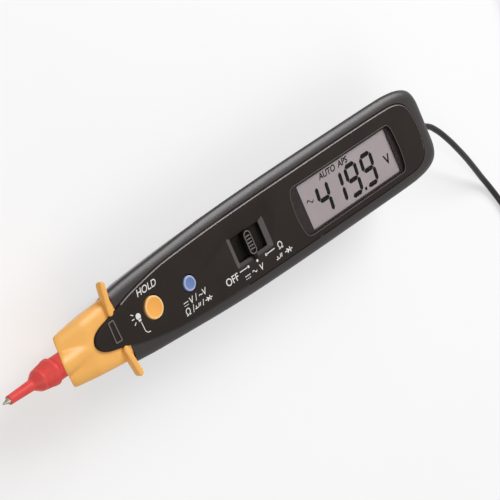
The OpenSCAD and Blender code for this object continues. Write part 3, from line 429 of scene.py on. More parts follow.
# Case skin, with the same stations as the part's source and smooth curves between them
CASE_X, CASE_LEN, HALF_W, FOOT_HALF_W, FACE_Z, STEP = 44.6, 138.8, 14.4, 7.0, 26.0, 0.5
SHOULDER_Z = FACE_Z - STEP
SHOULDER_W, SHOULDER_DROP, KEEL_R, SPLIT_Z, WALL = 3.5, 1.6, 1.5, 9.5, 1.6
SHOULDER_STEPS, KEEL_STEPS = 18, 8
LEAN = math.degrees(math.atan((HALF_W - FOOT_HALF_W) / (SHOULDER_Z - SHOULDER_DROP)))
LEAN_TAN, LEAN_COS = math.tan(math.radians(LEAN)), math.cos(math.radians(LEAN))
CEILING_Z = FACE_Z - WALL
case_x_shares = [0, 0.054, 0.112, 0.185, 0.258, 0.33, 0.403, 0.512, 0.62,
                 0.84, 0.898, 0.935, 0.96, 0.978, 0.99, 0.996, 1]
case_w_shares = [0.757, 0.81, 0.847, 0.892, 0.934, 0.965, 0.983, 0.996, 1,
                 1, 0.993, 0.962, 0.91, 0.84, 0.757, 0.667, 0.57]
case_low_shares = [0.28, 0.208, 0.146, 0.081, 0.035, 0.008, 0, 0, 0,
                   0, 0, 0.012, 0.046, 0.1, 0.17, 0.246, 0.346]
case_drop_shares = [0] * 12 + [0.02, 0.12, 0.35, 0.6, 1]
w_at = monotone(case_x_shares, case_w_shares)
low_at = monotone(case_x_shares, case_low_shares)
drop_at = monotone(case_x_shares, case_drop_shares)

# Behind the guard the case is drawn in by TUCK, up to TUCK_END along it and below TUCK_TOP
TUCK, TUCK_END, TUCK_RUN, TUCK_TOP, TUCK_FADE, TUCK_CORE = 2.4, 61, 14, 23.9, 6, 4

# How far the hollow of the case lies inside its skin: side, top, bottom, front and rear
HOLLOW = (WALL / LEAN_COS, WALL - STEP, WALL, 1, WALL)
BODY_STATIONS = [i / 40 for i in range(36)]
REAR_STATIONS = [0.89 + 0.11 * math.sin(math.pi / 2 * i / 26) for i in range(27)]

# Places that lie clear outside the case, where cutters end
FAR_Z, UNDER_Z, FAR_Y, FAR_X = 30, -5, 40, 200


def half_section(w, top, low, drop, tuck):
    bend_z, foot_z = top - drop, low + KEEL_R
    foot_y = w - (bend_z - foot_z) * LEAN_TAN - KEEL_R / LEAN_COS
    out = [(0.0, top)]
    for i in range(SHOULDER_STEPS + 1):
        a = math.radians(90 - 90 * i / SHOULDER_STEPS)
        out.append((w - SHOULDER_W + SHOULDER_W * math.cos(a), bend_z + drop * math.sin(a)))
    for i in range(KEEL_STEPS + 1):
        a = math.radians(-LEAN - (90 - LEAN) * i / KEEL_STEPS)
        out.append((foot_y + KEEL_R * math.cos(a), foot_z + KEEL_R * math.sin(a)))
    return [(y - tuck * min(1, max(0, (TUCK_TOP - z) / TUCK_FADE)) * min(1, y / TUCK_CORE), z) for y, z in out]


def case_skin(name, side=0, top=0, low=0, front=0, rear=0):
    """The skin of the whole case, or with distances inwards the skin of its hollow."""
    rings = []
    for s in sorted(set(BODY_STATIONS + REAR_STATIONS)):
        x = CASE_X - front if s == 0 else CASE_X + s * (CASE_LEN - rear)
        foot = low_at(s) * FACE_Z + low
        half = half_section(w_at(s) * HALF_W - side, SHOULDER_Z - SHOULDER_DROP * drop_at(s) - top, foot,
                            SHOULDER_DROP, TUCK * min(1, max(0, (TUCK_END - x) / TUCK_RUN)))
        other = [row(x, -y, z) for y, z in half[:0:-1]]
        rings.append([row(x, y, z) for y, z in half] + [row(x, 0, foot)] + other)
    return skin(name, rings)


# Plateau with a rounded edge
TONGUE_X, PLATEAU_LEN, PLATEAU_W, GROOVE_W, GROOVE_D = 33.1, 145.2, 10.8, 0.45, 0.4
PLATEAU_FOOT_Z, PLATEAU_EDGE = 25.3, 0.45
SPAN_STEPS, OUTLINE_POINTS = 24, 260
plateau_x_shares = [0, 0.003, 0.01, 0.024, 0.048, 0.072, 0.114, 0.18, 0.222,
                    0.333, 0.43, 0.604, 0.94, 0.958, 0.975, 0.987, 0.994, 1]
plateau_w_shares = [0, 0.12, 0.23, 0.33, 0.41, 0.485, 0.64, 0.8, 0.87,
                    0.945, 0.98, 1, 0.99, 0.96, 0.88, 0.76, 0.55, 0]


def plateau_outline(grow=0.0):
    """The plateau's outline, evenly spaced along its length, moved outwards by grow."""
    base = [(TONGUE_X + a * PLATEAU_LEN, b * PLATEAU_W) for a, b in zip(plateau_x_shares, plateau_w_shares)]
    loop = base + [(x, -y) for x, y in base[-2:0:-1]]
    n = len(loop)
    fine = []
    for i in range(n):
        p0, p1, p2, p3 = (Vector(loop[(i + k) % n]) for k in (-1, 0, 1, 2))
        for k in range(SPAN_STEPS):
            t = k / SPAN_STEPS
            d01, d12, d23 = [max((b - a).length ** 0.5, 1e-6) for a, b in ((p0, p1), (p1, p2), (p2, p3))]
            m1 = (p1 - p0) / d01 - (p2 - p0) / (d01 + d12) + (p2 - p1) / d12
            m2 = (p2 - p1) / d12 - (p3 - p1) / (d12 + d23) + (p3 - p2) / d23
            m1, m2 = m1 * d12, m2 * d12
            h = (2 * t ** 3 - 3 * t ** 2 + 1, t ** 3 - 2 * t ** 2 + t,
                 -2 * t ** 3 + 3 * t ** 2, t ** 3 - t ** 2)
            fine.append(p1 * h[0] + m1 * h[1] + p2 * h[2] + m2 * h[3])
    lengths = [0.0]
    for a, b in zip(fine, fine[1:] + fine[:1]):
        lengths.append(lengths[-1] + (b - a).length)
    out, j = [], 0
    for k in range(OUTLINE_POINTS):
        s = lengths[-1] * k / OUTLINE_POINTS
        while lengths[j + 1] < s:
            j += 1
        t = (s - lengths[j]) / max(lengths[j + 1] - lengths[j], 1e-9)
        out.append(fine[j].lerp(fine[(j + 1) % len(fine)], t))
    moved = []
    for k, p in enumerate(out):
        along = (out[(k + 1) % OUTLINE_POINTS] - out[k - 1]).normalized()
        moved.append(p + Vector((-along.y, along.x)) * grow)
    return moved


def plateau(name):
    rings = [[row(p.x, p.y, PLATEAU_FOOT_Z) for p in plateau_outline()]]
    for a in quarter(5):
        rings.append([row(p.x, p.y, FACE_Z - PLATEAU_EDGE + PLATEAU_EDGE * math.sin(a))
                      for p in plateau_outline(-PLATEAU_EDGE * (1 - math.cos(a)))])
    return skin(name, rings)


# Face openings shared by the plateau and the shell under it
HOLD_X, HOLD_D, HOLD_GAP, SELECT_X, SELECT_D, SELECT_GAP, HOLE_FOOT_Z = 56.6, 6.8, 0.7, 71.6, 4.6, 0.8, 20
SWITCH_X, RECESS_X, RECESS_LEN, RECESS_W, BEVEL_LEN, BEVEL_W, BEVEL_D = 98.0, 98.2, 15.9, 9.8, 1.7, 1.0, 0.6
LCD_X, LCD_LEN, LCD_Y, LCD_W, LCD_R, LCD_WELL_Z, LCD_TOP = 123.6, 41.8, -1.35, 14.2, 0.5, 22.0, 24.6
WINDOW_X, WINDOW_LEN, WINDOW_Y, WINDOW_HALF = 119.9, 46.8, -1.3, 7.9
WINDOW_FRONT_BOW, WINDOW_REAR_BOW, WINDOW_R, LENS_GAP, LENS_Z, LENS_TOP = 1.4, 0.9, 2.0, 0.1, 25.2, 25.8


def window_outline(gap=0.0):
    x0, x1, half = WINDOW_X + gap, WINDOW_X + WINDOW_LEN - gap, WINDOW_HALF - gap
    shares = [1 - i / 12 for i in range(25)]
    front = [(x0 - WINDOW_FRONT_BOW * (1 - t * t), WINDOW_Y - half * t) for t in shares]
    back = [(x1 + WINDOW_REAR_BOW * (1 - t * t), WINDOW_Y + half * t) for t in shares]
    return front + back


def rounded_outline(points, radius, steps=6):
    """Rounds the sharp corners of a closed outline, also where its sides are curves of short lines."""
    pts, n = [Vector(p) for p in points], len(points)
    sharp = {i for i in range(n)
             if (pts[i] - pts[i - 1]).angle(pts[(i + 1) % n] - pts[i], 0) >= math.radians(30)}
    gone, arcs = set(sharp), {}
    for i in sharp:
        ends = []
        for way in (-1, 1):
            k, here, left = i, pts[i], radius
            while True:
                j = (k + way) % n
                d = (pts[j] - here).length
                if j in sharp or left <= d:
                    ends.append(here + (pts[j] - here) * min(left / d, 0.5 if j in sharp else 1.0))
                    break
                left, here, k = left - d, pts[j], j
                gone.add(j)
        a, b = ends
        shares = [k / steps for k in range(steps + 1)]
        arcs[i] = [a * (1 - t) ** 2 + pts[i] * 2 * t * (1 - t) + b * t * t for t in shares]
    out = []
    for i in range(n):
        if i in arcs:
            out += [(q.x, q.y) for q in arcs[i]]
        elif i not in gone:
            out.append((pts[i].x, pts[i].y))
    return out


def bevel_pocket():
    """The switch recess: bevelled sides down to a straight slot, with soft corners."""
    over, sharp_r, soft_r = 1.0, 0.5, 0.9

    def ring(z, grow_x, grow_y, r):
        x1, y1 = RECESS_LEN / 2 + grow_x, RECESS_W / 2 + grow_y
        corners = [(-x1, -y1), (x1, -y1), (x1, y1), (-x1, y1)]
        return [row(RECESS_X + x, y, z) for x, y in rounded_outline(corners, r)]

    return skin("recess", [ring(CEILING_Z - over, -BEVEL_LEN, -BEVEL_W, sharp_r),
                           ring(FACE_Z - BEVEL_D, -BEVEL_LEN, -BEVEL_W, sharp_r),
                           ring(FACE_Z, 0, 0, soft_r), ring(FACE_Z + over, 0.02, 0.02, soft_r)])


def face_cutters():
    y0, y1, x0, x1 = LCD_Y - LCD_W / 2, LCD_Y + LCD_W / 2, LCD_X, LCD_X + LCD_LEN
    return [
        bore(HOLD_X, HOLE_FOOT_Z, FAR_Z, HOLD_D + HOLD_GAP),
        bore(SELECT_X, HOLE_FOOT_Z, FAR_Z, SELECT_D + SELECT_GAP),
        bevel_pocket(),
        prism("cut", rounded_outline(window_outline(), WINDOW_R), LENS_Z, FAR_Z),
        prism("cut", rounded_outline([(x0, y0), (x1, y0), (x1, y1), (x0, y1)], LCD_R), LCD_WELL_Z, FAR_Z),
    ]


# Seat of the strain relief in the rear wall: its hole, and the room for its flange behind the wall
BUSHING_R, BUSHING_X, BUSHING_FLANGE_R, BUSHING_FLANGE_X = 2.23, (176.4, 185.4), 3.3, (177, 181.63)
case_top = carved(case_skin("upper_shell_piece"), [
    case_skin("cut", *HOLLOW),
    block((0, -FAR_Y, UNDER_Z), (FAR_X, FAR_Y, SPLIT_Z)),
    prism("cut", plateau_outline(GROOVE_W), SHOULDER_Z - GROOVE_D, FAR_Z),
    *face_cutters(),
    rod("cut", BUSHING_R, *BUSHING_X, LEAD_Y, LEAD_Z),
    rod("cut", BUSHING_FLANGE_R, *BUSHING_FLANGE_X, LEAD_Y, LEAD_Z),
])
face_top = carved(plateau("face_plate"), face_cutters())
smooth(case_top, 30)
smooth(face_top, 32)
dress(case_top, case_mat, "case")
dress(face_top, face_mat, "case")

# Painted highlight on the lit edges of the face, a painted highlight and a darker copy of it on the bevels of
# the recess, and the dark band round the display, by place and slope
EDGE, BEVEL_HIGHLIGHT, BEVEL_DARKER_COPY, BEZEL = 1, 2, 3, 1
EDGE_FROM_X, EDGE_LOW_Z, RECESS_LOW_Z, RECESS_TOP_Z, NEAR = 46, 25.57, 25.3, 25.99, 0.1
LENS_SEAT_X, LENS_SEAT_HALF, LENS_SEAT_Z = (118, 168.5), 8, (25.1, 25.3)
for material in (face_edge_highlight_mat, bevel_highlight_mat, bevel_darker_copy_mat):
    face_top.data.materials.append(material)
for p in face_top.data.polygons:
    x, y, z = in_mm(p.center)
    if abs(x - RECESS_X) < RECESS_LEN / 2 + NEAR and abs(y) < RECESS_W / 2 + NEAR:
        # Painted light on the recess bevels: the bevel facing +Y, which the lamp lights strongly, gets the
        # darker copy, those along X the painted highlight, and those facing -Y keep the face's colour
        if RECESS_LOW_Z < z < RECESS_TOP_Z and 0.2 < p.normal.z < 0.97 and p.normal.y > -0.2:
            p.material_index = BEVEL_DARKER_COPY if p.normal.y > 0.3 else BEVEL_HIGHLIGHT
    # Painted highlight: sloped faces of the face's rounded edge, except those turned towards -Y, get the
    # lighter colour
    elif x > EDGE_FROM_X and z > EDGE_LOW_Z and 0.1 < p.normal.z < 0.985 and p.normal.y > -0.15:
        p.material_index = EDGE
case_top.data.materials.append(bezel_mat)
for p in case_top.data.polygons:
    x, y, z = in_mm(p.center)
    inside = LENS_SEAT_X[0] < x < LENS_SEAT_X[1] and abs(y - WINDOW_Y) < LENS_SEAT_HALF
    if inside and LENS_SEAT_Z[0] < z < LENS_SEAT_Z[1] and p.normal.z > 0.9:
        p.material_index = BEZEL
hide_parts("upper_case")

# Underside of the case, with its screw holes and the room for the battery cover
COVER_X, COVER_END, COVER_H, COVER_GAP, PARTING = 102.0, 136.0, 5.0, 0.15, 0.18
SCREW_HEAD_D, SCREW_HOLE_Z, FRONT_SCREW_X, REAR_SCREW_X = 4.5, (-2, 3), 78.55, 173.4
case_low = carved(case_skin("lower_shell_piece"), [
    case_skin("cut", *HOLLOW),
    block((0, -FAR_Y, SPLIT_Z - PARTING), (FAR_X, FAR_Y, FAR_Y)),
    block((COVER_X - COVER_GAP, -FAR_Y, UNDER_Z), (COVER_END + COVER_GAP, FAR_Y, COVER_H + COVER_GAP)),
    bore(FRONT_SCREW_X, *SCREW_HOLE_Z, SCREW_HEAD_D),
    bore(REAR_SCREW_X, *SCREW_HOLE_Z, SCREW_HEAD_D),
])
smooth(case_low, 30)
dress(case_low, case_mat, "case")

# Guard: its cross-sections lean back at the front face and stand upright at the case
GUARD_X, GUARD_Z, GUARD_REAR_Z, UNDERCUT, PROBE_Z = 22.2, 23.6, 25.2, 41.0, 22.2
GUARD_FRONT_W, GUARD_REAR_W, GUARD_LOW_Z, GUARD_DROP = 7.6, 9.9, 10, 2.2
GUARD_STEPS, FLAT_SHARE, GUARD_EDGE = 26, 0.6, 0.7
RIDGE_FRONT, RIDGE_REAR, RIDGE_SOFT, RIDGE_LOW_Z, RIDGE_HALF_W = 3.7, 2.9, 0.35, 20, 6.5
LAMP_R, LAMP_X, LAMP_Z, NECK_HOLE_R, NECK_HOLE_X = 1.53, (20, 38), 14.6, 2.23, (10, 44)
COLLAR_R, COLLAR_DEPTH, COLLAR_GAP, NECK_R, NECK_END = 3.5, 1.0, 0.03, 2.2, 35


def guard_section(x):
    """Half width, top and bottom of the guard at x."""
    level = TONGUE_X - 1
    w = GUARD_FRONT_W + (GUARD_REAR_W - GUARD_FRONT_W) / (CASE_X - GUARD_X) * (x - GUARD_X)
    t = GUARD_Z + (GUARD_REAR_Z - GUARD_Z) / (level - GUARD_X) * (min(x, level) - GUARD_X)
    bottom = GUARD_LOW_Z - (GUARD_LOW_Z - case_low_shares[0] * FACE_Z) / (CASE_X - TONGUE_X) * (x - TONGUE_X)
    return w, t, bottom


def guard_point(x, k):
    """The k-th point round one half of the guard's section at x, with the ridge over the probe."""
    w, t, bottom = guard_section(x)
    f = k / GUARD_STEPS
    if k > GUARD_STEPS:
        a = math.radians(-LEAN - (90 - LEAN) * (k - GUARD_STEPS - 1) / KEEL_STEPS)
        foot_z = bottom + KEEL_R
        foot_y = w - (t - GUARD_DROP - foot_z) * LEAN_TAN - KEEL_R / LEAN_COS
        y, z = foot_y + KEEL_R * math.cos(a), foot_z + KEEL_R * math.sin(a)
    elif f < FLAT_SHARE:
        y, z = (w - SHOULDER_W) * f / FLAT_SHARE, t
    else:
        a = math.radians(90 - 90 * (f - FLAT_SHARE) / (1 - FLAT_SHARE))
        y, z = w - SHOULDER_W + SHOULDER_W * math.cos(a), t - GUARD_DROP + GUARD_DROP * math.sin(a)
    if z > RIDGE_LOW_Z and y < RIDGE_HALF_W:
        r = RIDGE_FRONT - (RIDGE_FRONT - RIDGE_REAR) / (TONGUE_X - GUARD_X) * (x - GUARD_X)
        ridge = PROBE_Z + math.sqrt(max(r * r - y * y, 0)) if y < r else 0
        z = max(z, ridge) + RIDGE_SOFT * max(0, 1 - abs(z - ridge) / (4 * RIDGE_SOFT)) ** 2 * 0.5
    return y, z


def guard_ring(top_x, lean, inset=0.0, push=0.0):
    """Points of one leaning ring; inset draws it in and push moves it back along the case."""
    half = []
    for k in range(GUARD_STEPS + KEEL_STEPS + 2):
        x = top_x
        for _ in range(12):
            y, z = guard_point(x, k)
            x = top_x + (GUARD_Z - z) * math.tan(math.radians(lean))
        half.append((x, y, z))
    ring = half + [(x, -y, z) for x, y, z in half[:0:-1]]
    if inset:
        cx = sum(p[0] for p in ring) / len(ring)
        cz = sum(p[2] for p in ring) / len(ring)
        drawn = []
        for x, y, z in ring:
            d = math.sqrt((x - cx) ** 2 + y * y + (z - cz) ** 2)
            f = max(0.0, 1 - inset / d)
            drawn.append((cx + (x - cx) * f, y * f, cz + (z - cz) * f))
        ring = drawn
    return [row(x + push, y, z) for x, y, z in ring]


def guard_body():
    rings = [guard_ring(GUARD_X, UNDERCUT, inset=inset) for inset in (4.5, 2.0)]
    for a in quarter(5)[:-1]:
        rings.append(guard_ring(GUARD_X, UNDERCUT, inset=GUARD_EDGE * (1 - math.sin(a)) + 1e-4,
                                push=GUARD_EDGE * (1 - math.cos(a))))
    for i in range(1, 25):
        f = i / 24
        lean = UNDERCUT * (1 - f) ** 1.3 if f < 1 else 0
        rings.append(guard_ring(GUARD_X + GUARD_EDGE + (CASE_X - GUARD_X - GUARD_EDGE - 0.02) * f, lean))
    return skin("guard_body", rings)


def ear(side):
    """One ear: a bar with round ends and soft edges, sweeping back."""
    p0, p1, r = Vector((42.2, side * 5.6)), Vector((43.5, side * 13.6)), 1.0
    edge, top_z, low_z = 0.45, 26.2, 24.0
    along = (p1 - p0).normalized()
    across = Vector((-along.y, along.x))

    def ring(z, a):
        pts = []
        for c, a0 in ((p1, -90), (p0, 90)):
            for k in range(13):
                t = math.radians(a0 + 15 * k)
                pts.append(c + (along * math.cos(t) + across * math.sin(t)) * (r - edge * (1 - math.cos(a))))
        return [row(p.x, p.y, z) for p in pts]

    rings = [ring(low_z, math.pi / 2)]
    rings += [ring(low_z + edge * (1 - math.sin(a)), a) for a in quarter(4)[::-1]]
    rings += [ring(top_z - edge + edge * math.sin(a), a) for a in quarter(4)]
    return skin("ear", rings)


def collar_seat(name, r, depth, front=10.0, edge=0.0):
    """A round bar along X that ends on the guard's leaning front face, moved back by a depth."""
    around = circle(96)
    tan = math.tan(math.radians(UNDERCUT))
    rings = []
    for q, x in [(r - edge, front), (r, front + edge)] if edge else [(r, front)]:
        rings.append([row(x, q * math.cos(a), PROBE_Z + q * math.sin(a)) for a in around])
    rings.append([row(GUARD_X + depth + (GUARD_Z - PROBE_Z - r * math.sin(a)) * tan,
                      r * math.cos(a), PROBE_Z + r * math.sin(a)) for a in around])
    return skin(name, rings)


guard = carved(guard_body(), [
    prism("cut", plateau_outline(0.1), 25.25, FAR_Z),
    rod("cut", LAMP_R, *LAMP_X, 0, LAMP_Z),
    rod("cut", NECK_HOLE_R, *NECK_HOLE_X, 0, PROBE_Z),
    collar_seat("cut", COLLAR_R + COLLAR_GAP, COLLAR_DEPTH + COLLAR_GAP),
])
guard = joined("guard_piece", guard, ear(1), ear(-1))
smooth(guard, 40)
dress(guard, guard_mat, "case")
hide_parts("nose_guard")
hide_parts("lower_case")

# Red sleeve, with faint ribs on its flare, and the collar behind it
SLEEVE_X, SLEEVE_LEN, SLEEVE_BORE_R, COLLAR_X, PIN_BORE_R, PIN_BORE_X = 2.1, 16.8, 1.05, 19.2, 1.03, (10, 40)
FLARE_X, FLARE_END, FLARE_R, FLARE_GAIN = 0.66 * SLEEVE_LEN, SLEEVE_LEN - 0.3, 3.2, 0.9
TIP_R, STEM_R, STEM_SHARE, RIB_DEPTH, RIB_LINES = 1.35, 1.65, 0.52, 0.07, 25
profile = fillet([(SLEEVE_BORE_R, 0), (TIP_R, 0), (STEM_R, STEM_SHARE * SLEEVE_LEN), (FLARE_R, FLARE_X),
                  (3.9, FLARE_END - 1.2)], 0.5)[:-1]
for i in range(RIB_LINES):
    t = 0.12 + 0.62 * i / (RIB_LINES - 1)
    profile.append((FLARE_R + FLARE_GAIN * t - RIB_DEPTH * (i % 2), FLARE_X + t * (FLARE_END - FLARE_X)))
profile += [(4.02, FLARE_END - 1.0), (4.1, FLARE_END), (3.8, SLEEVE_LEN), (SLEEVE_BORE_R, SLEEVE_LEN)]
sleeve = turned("sleeve_piece", profile, lambda h, u, v: row(SLEEVE_X + h, u, PROBE_Z + v), axis="x", steps=96)
smooth(sleeve, 45)
dress(sleeve, red_mat, "sleeve")
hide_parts("probe_sleeve")


def drilled(obj):
    """The piece with a bore for the pin."""
    return carved(obj, [rod("cut", PIN_BORE_R, *PIN_BORE_X, 0, PROBE_Z)])


collar = joined("collar_piece", drilled(collar_seat("seat", COLLAR_R, COLLAR_DEPTH, COLLAR_X, 0.4)),
                drilled(rod("neck", NECK_R, COLLAR_X + 1, NECK_END, 0, PROBE_Z)))
smooth(collar, 45)
dress(collar, red_mat, "case")
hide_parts("probe_collar")

# Buttons with a flange inside the case, a softened rim and a slightly dished top
BUTTON_FOOT_Z, FLANGE_Z, FLANGE_TOP_Z, FLANGE_W, BUTTON_TOP_Z, BUTTON_EDGE = 21.9, 23.3, 24.1, 0.75, 26.5, 0.35
# Width and height of the painted highlight on each button's rim
RIM_HIGHLIGHT_W, RIM_HIGHLIGHT_H = 0.62, 0.33


def button(name, x, d, material, rim, body, cad):
    r, edge_z = d / 2, BUTTON_TOP_Z - BUTTON_EDGE
    profile = [(0.02, BUTTON_FOOT_Z), (d / 4, BUTTON_FOOT_Z), (d / 4, FLANGE_Z), (r + FLANGE_W, FLANGE_Z),
               (r + FLANGE_W, FLANGE_TOP_Z), (r, FLANGE_TOP_Z), (r, edge_z)]
    for a in quarter(6)[1:]:
        profile.append((r - BUTTON_EDGE * (1 - math.cos(a)), edge_z + BUTTON_EDGE * math.sin(a)))
    profile += [(r - 0.6, BUTTON_TOP_Z - 0.02), (r - 0.8, BUTTON_TOP_Z - 0.08), (0.02, BUTTON_TOP_Z - 0.10)]
    piece = turned(name, profile, lambda u, v, h: row(x + u, v, h), steps=96)
    smooth(piece, 40)
    dress(piece, material, body)
    # Painted highlight: the outer ring of the button's top, where the rounded edge catches the light, gets the
    # lighter colour
    piece.data.materials.append(rim)
    for p in piece.data.polygons:
        px, py, pz = in_mm(p.center)
        if pz > BUTTON_TOP_Z - RIM_HIGHLIGHT_H and Vector((px - x, py)).length > r - RIM_HIGHLIGHT_W:
            p.material_index = 1
    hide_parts(cad)


button("hold_button_piece", HOLD_X, HOLD_D, orange_mat, orange_rim_highlight, "hold", "hold_button")
button("select_button_piece", SELECT_X, SELECT_D, blue_mat, blue_rim_highlight, "select", "select_button")

# Slide switch: a plate under the face with an oval knob and a pointer
KNOB_W, KNOB_L, KNOB_Z, KNOB_FOOT_Z, KNOB_SOFT = 3.0, 7.6, 26.1, 23.8, 0.5
RIB_HALF_L, RIB_HALF_W, RIB_COUNT, RIB_Z, RIB_SOFT, BEAD_R = 0.95, 0.2, 5, (26.0, 26.38), 0.12, 0.2
SLIDER_HALF_L, SLIDER_HALF_W, SLIDER_Z = 11.05, 5.5, (23.25, 24.25)


def oval_ring(less, z, steps=20):
    """The knob's outline, made smaller by a width."""
    w, l = KNOB_W - less, KNOB_L - less
    pts = []
    for s, a0 in ((1, 0), (-1, 180)):
        for k in range(steps + 1):
            a = math.radians(a0 + 180 * k / steps)
            pts.append(row(SWITCH_X + w / 2 * math.cos(a), s * (l - w) / 2 + w / 2 * math.sin(a), z))
    return pts


def bar(name, half_l, y0, y1, z0, z1, radius):
    """A rounded bar across the switch's middle."""
    return rounded_box(name, (SWITCH_X - half_l, y0, z0), (SWITCH_X + half_l, y1, z1), radius)


slider = bar("slider", SLIDER_HALF_L, -SLIDER_HALF_W, SLIDER_HALF_W, *SLIDER_Z, 0.2)
oval = skin("oval", [oval_ring(0, KNOB_FOOT_Z)]
            + [oval_ring(KNOB_SOFT * (1 - math.cos(a)), KNOB_Z + 0.05 + 0.25 * math.sin(a)) for a in quarter(4)]
            + [oval_ring(1.0, KNOB_Z + 0.3), oval_ring(1.1, KNOB_Z - 0.05)])
pointer = bar("pointer", 0.7, -5.3, -3.3, KNOB_Z, 26.45, RIB_SOFT)
base = joined("knob_piece", slider, oval, pointer)
smooth(base, 40)
dress(base, knob_mat, "slider")
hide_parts("switch_knob")
ribs = []
for i in range(1, RIB_COUNT + 1):
    y = (i / (RIB_COUNT + 1) - 0.5) * (KNOB_L - KNOB_W / 2)
    ribs.append(bar("rib", RIB_HALF_L, y - RIB_HALF_W, y + RIB_HALF_W, *RIB_Z, RIB_SOFT))
rim_rings = []
for a in [math.pi * i / 8 for i in range(9)]:
    rim_rings.append(oval_ring(0.55 - 2 * BEAD_R * math.cos(a), KNOB_Z + 0.2 + BEAD_R * math.sin(a)))
rib_piece = joined("knob_ribs", skin("rim", rim_rings, caps=False), *ribs)
smooth(rib_piece, 60)
dress(rib_piece, rib_mat, "slider")

# Window, display and its segments
lens = prism("window_piece", rounded_outline(window_outline(LENS_GAP), WINDOW_R - LENS_GAP), LENS_Z, LENS_TOP)
smooth(lens, 40)
dress(lens, window_mat, "case")
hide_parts("display_window")
dress(node["lcd_panel"], lcd_mat)


def outline_highlight_line(name, points, radius, z, material):
    """A thin raised line along a closed outline, used as a painted highlight."""
    rings = []
    for i, p in enumerate(points):
        along = (Vector(points[(i + 1) % len(points)]) - Vector(points[i - 1])).normalized()
        across = Vector((-along.y, along.x))
        rings.append([row(p[0] + across.x * radius * math.cos(t), p[1] + across.y * radius * math.cos(t),
                          z + radius * 0.6 * math.sin(t)) for t in circle(10)])
    piece = skin(name, rings + [rings[0]], caps=False)
    smooth(piece, 80)
    return dress(piece, material, "case")


# Painted highlight round the window: a thin raised line in the lighter bevel colour where the window's edge
# catches the light
outline_highlight_line("window_edge_highlight", rounded_outline(window_outline(), WINDOW_R), 0.13, 25.98, bevel_highlight_mat)


def flat_shape(name, outlines, z, material):
    """Thin flat pieces, such as printed marks, standing a hair above a surface."""
    parts = [prism(name, o, z, z + 0.02) for o in outlines]
    return dress(joined(name, *parts), material, "case")


# Seven-segment digits. A digit's own frame has u along the text and v up the text.
SEG_W, SEG_H, SEG_T, SEG_GAP, SLANT = 5.9, 9.0, 1.38, 0.1, 0.12
DIGIT_Y, POINT_SIZE, POINT_AT = -6.9, 0.95, (149.1, -7.5)


def slanted(points, x, y):
    return [(x + u + SLANT * v, y + v) for u, v in points]


def segment(which):
    w, h, t, g = SEG_W, SEG_H / 2, SEG_T / 2, SEG_GAP
    if which in "adg":
        v0 = {"a": SEG_H, "g": h, "d": 0}[which]
        flat = [(g + t, 0), (g + 2 * t, t), (w - g - 2 * t, t),
                (w - g - t, 0), (w - g - 2 * t, -t), (g + 2 * t, -t)]
        return [(u, v + v0) for u, v in flat]
    u0 = t if which in "ef" else w - t
    v0 = 0 if which in "ec" else h
    upright = [(0, g), (t, g + t), (t, h - g - t), (0, h - g), (-t, h - g - t), (-t, g + t)]
    return [(u + u0, v + v0) for u, v in upright]


digits = {"4": "fgbc", "1": "bc", "9": "abcdfg"}
shapes = []
for digit, x in (("4", 129.2), ("1", 135.6), ("9", 142.8), ("9", 150.2)):
    shapes += [slanted(segment(s), x, DIGIT_Y) for s in digits[digit]]
shapes.append(slanted([(0, 0), (POINT_SIZE, 0), (POINT_SIZE, POINT_SIZE), (0, POINT_SIZE)], *POINT_AT))
flat_shape("display_digits", shapes, LCD_TOP + 0.01, segment_mat)


def words(name, text, size, x, y, z, material, heavy=0.02, shear=0.0):
    """Printed letters, flat on a surface."""
    curve = bpy.data.curves.new(name, "FONT")
    curve.body = text
    curve.size = size / 1000
    curve.align_x = "CENTER"
    curve.align_y = "CENTER"
    curve.shear = shear
    curve.extrude = 0.00001
    curve.offset = heavy / 1000
    obj = add(name, curve)
    obj.matrix_world = Matrix.Translation(row(x, y, z))
    bpy.context.view_layer.update()
    mesh = bpy.data.meshes.new_from_object(obj.evaluated_get(bpy.context.evaluated_depsgraph_get()))
    mesh.transform(obj.matrix_world)
    bpy.data.objects.remove(obj)
    return dress(add(name, mesh), material, "case")


INK_Z = FACE_Z + 0.012
for name, text, size, x, y, heavy, shear in (
        ("display_v", "V", 4.1, 162.2, -3.2, 0.1, 0), ("display_auto", "AUTO", 2.7, 137.4, 4.1, 0.06, 0.2),
        ("display_saver", "APS", 2.7, 144.7, 4.1, 0.06, 0.2)):
    words(name, text, size, x, y, LCD_TOP + 0.02, segment_mat, heavy, shear)
for name, text, size, x, y, shear in (
        ("mark_hold", "HOLD", 2.9, 56.8, 5.9, 0.25), ("mark_volts", "V / ~V", 2.7, 72.6, -4.6, 0.15),
        ("mark_ohms", "Ω /", 2.8, 67.9, -7.0, 0.15), ("mark_off", "OFF", 3.1, 86.6, -6.6, 0),
        ("mark_v", "V", 2.7, 98.5, -8.3, 0.15), ("mark_ohm", "Ω", 2.9, 108.3, -6.0, 0)):
    words(name, text, size, x, y, INK_Z, ink_mat, shear=shear)


def disc(x, y, r):
    return [(x + r * math.cos(a), y + r * math.sin(a)) for a in circle(20)]


def stroke(x0, y0, x1, y1, w):
    d = Vector((x1 - x0, y1 - y0)).normalized()
    n = Vector((-d.y, d.x)) * w / 2
    return [(x0 + n.x, y0 + n.y), (x1 + n.x, y1 + n.y), (x1 - n.x, y1 - n.y), (x0 - n.x, y0 - n.y)]


def wave(x, y, length, height, width, steps=14):
    """A short sine wave as one closed outline."""
    mid = [(x + length * (k / steps - 0.5), y + height * math.sin(2 * math.pi * k / steps))
           for k in range(steps + 1)]
    return [(u, v + width / 2) for u, v in mid] + [(u, v - width / 2) for u, v in mid[::-1]]


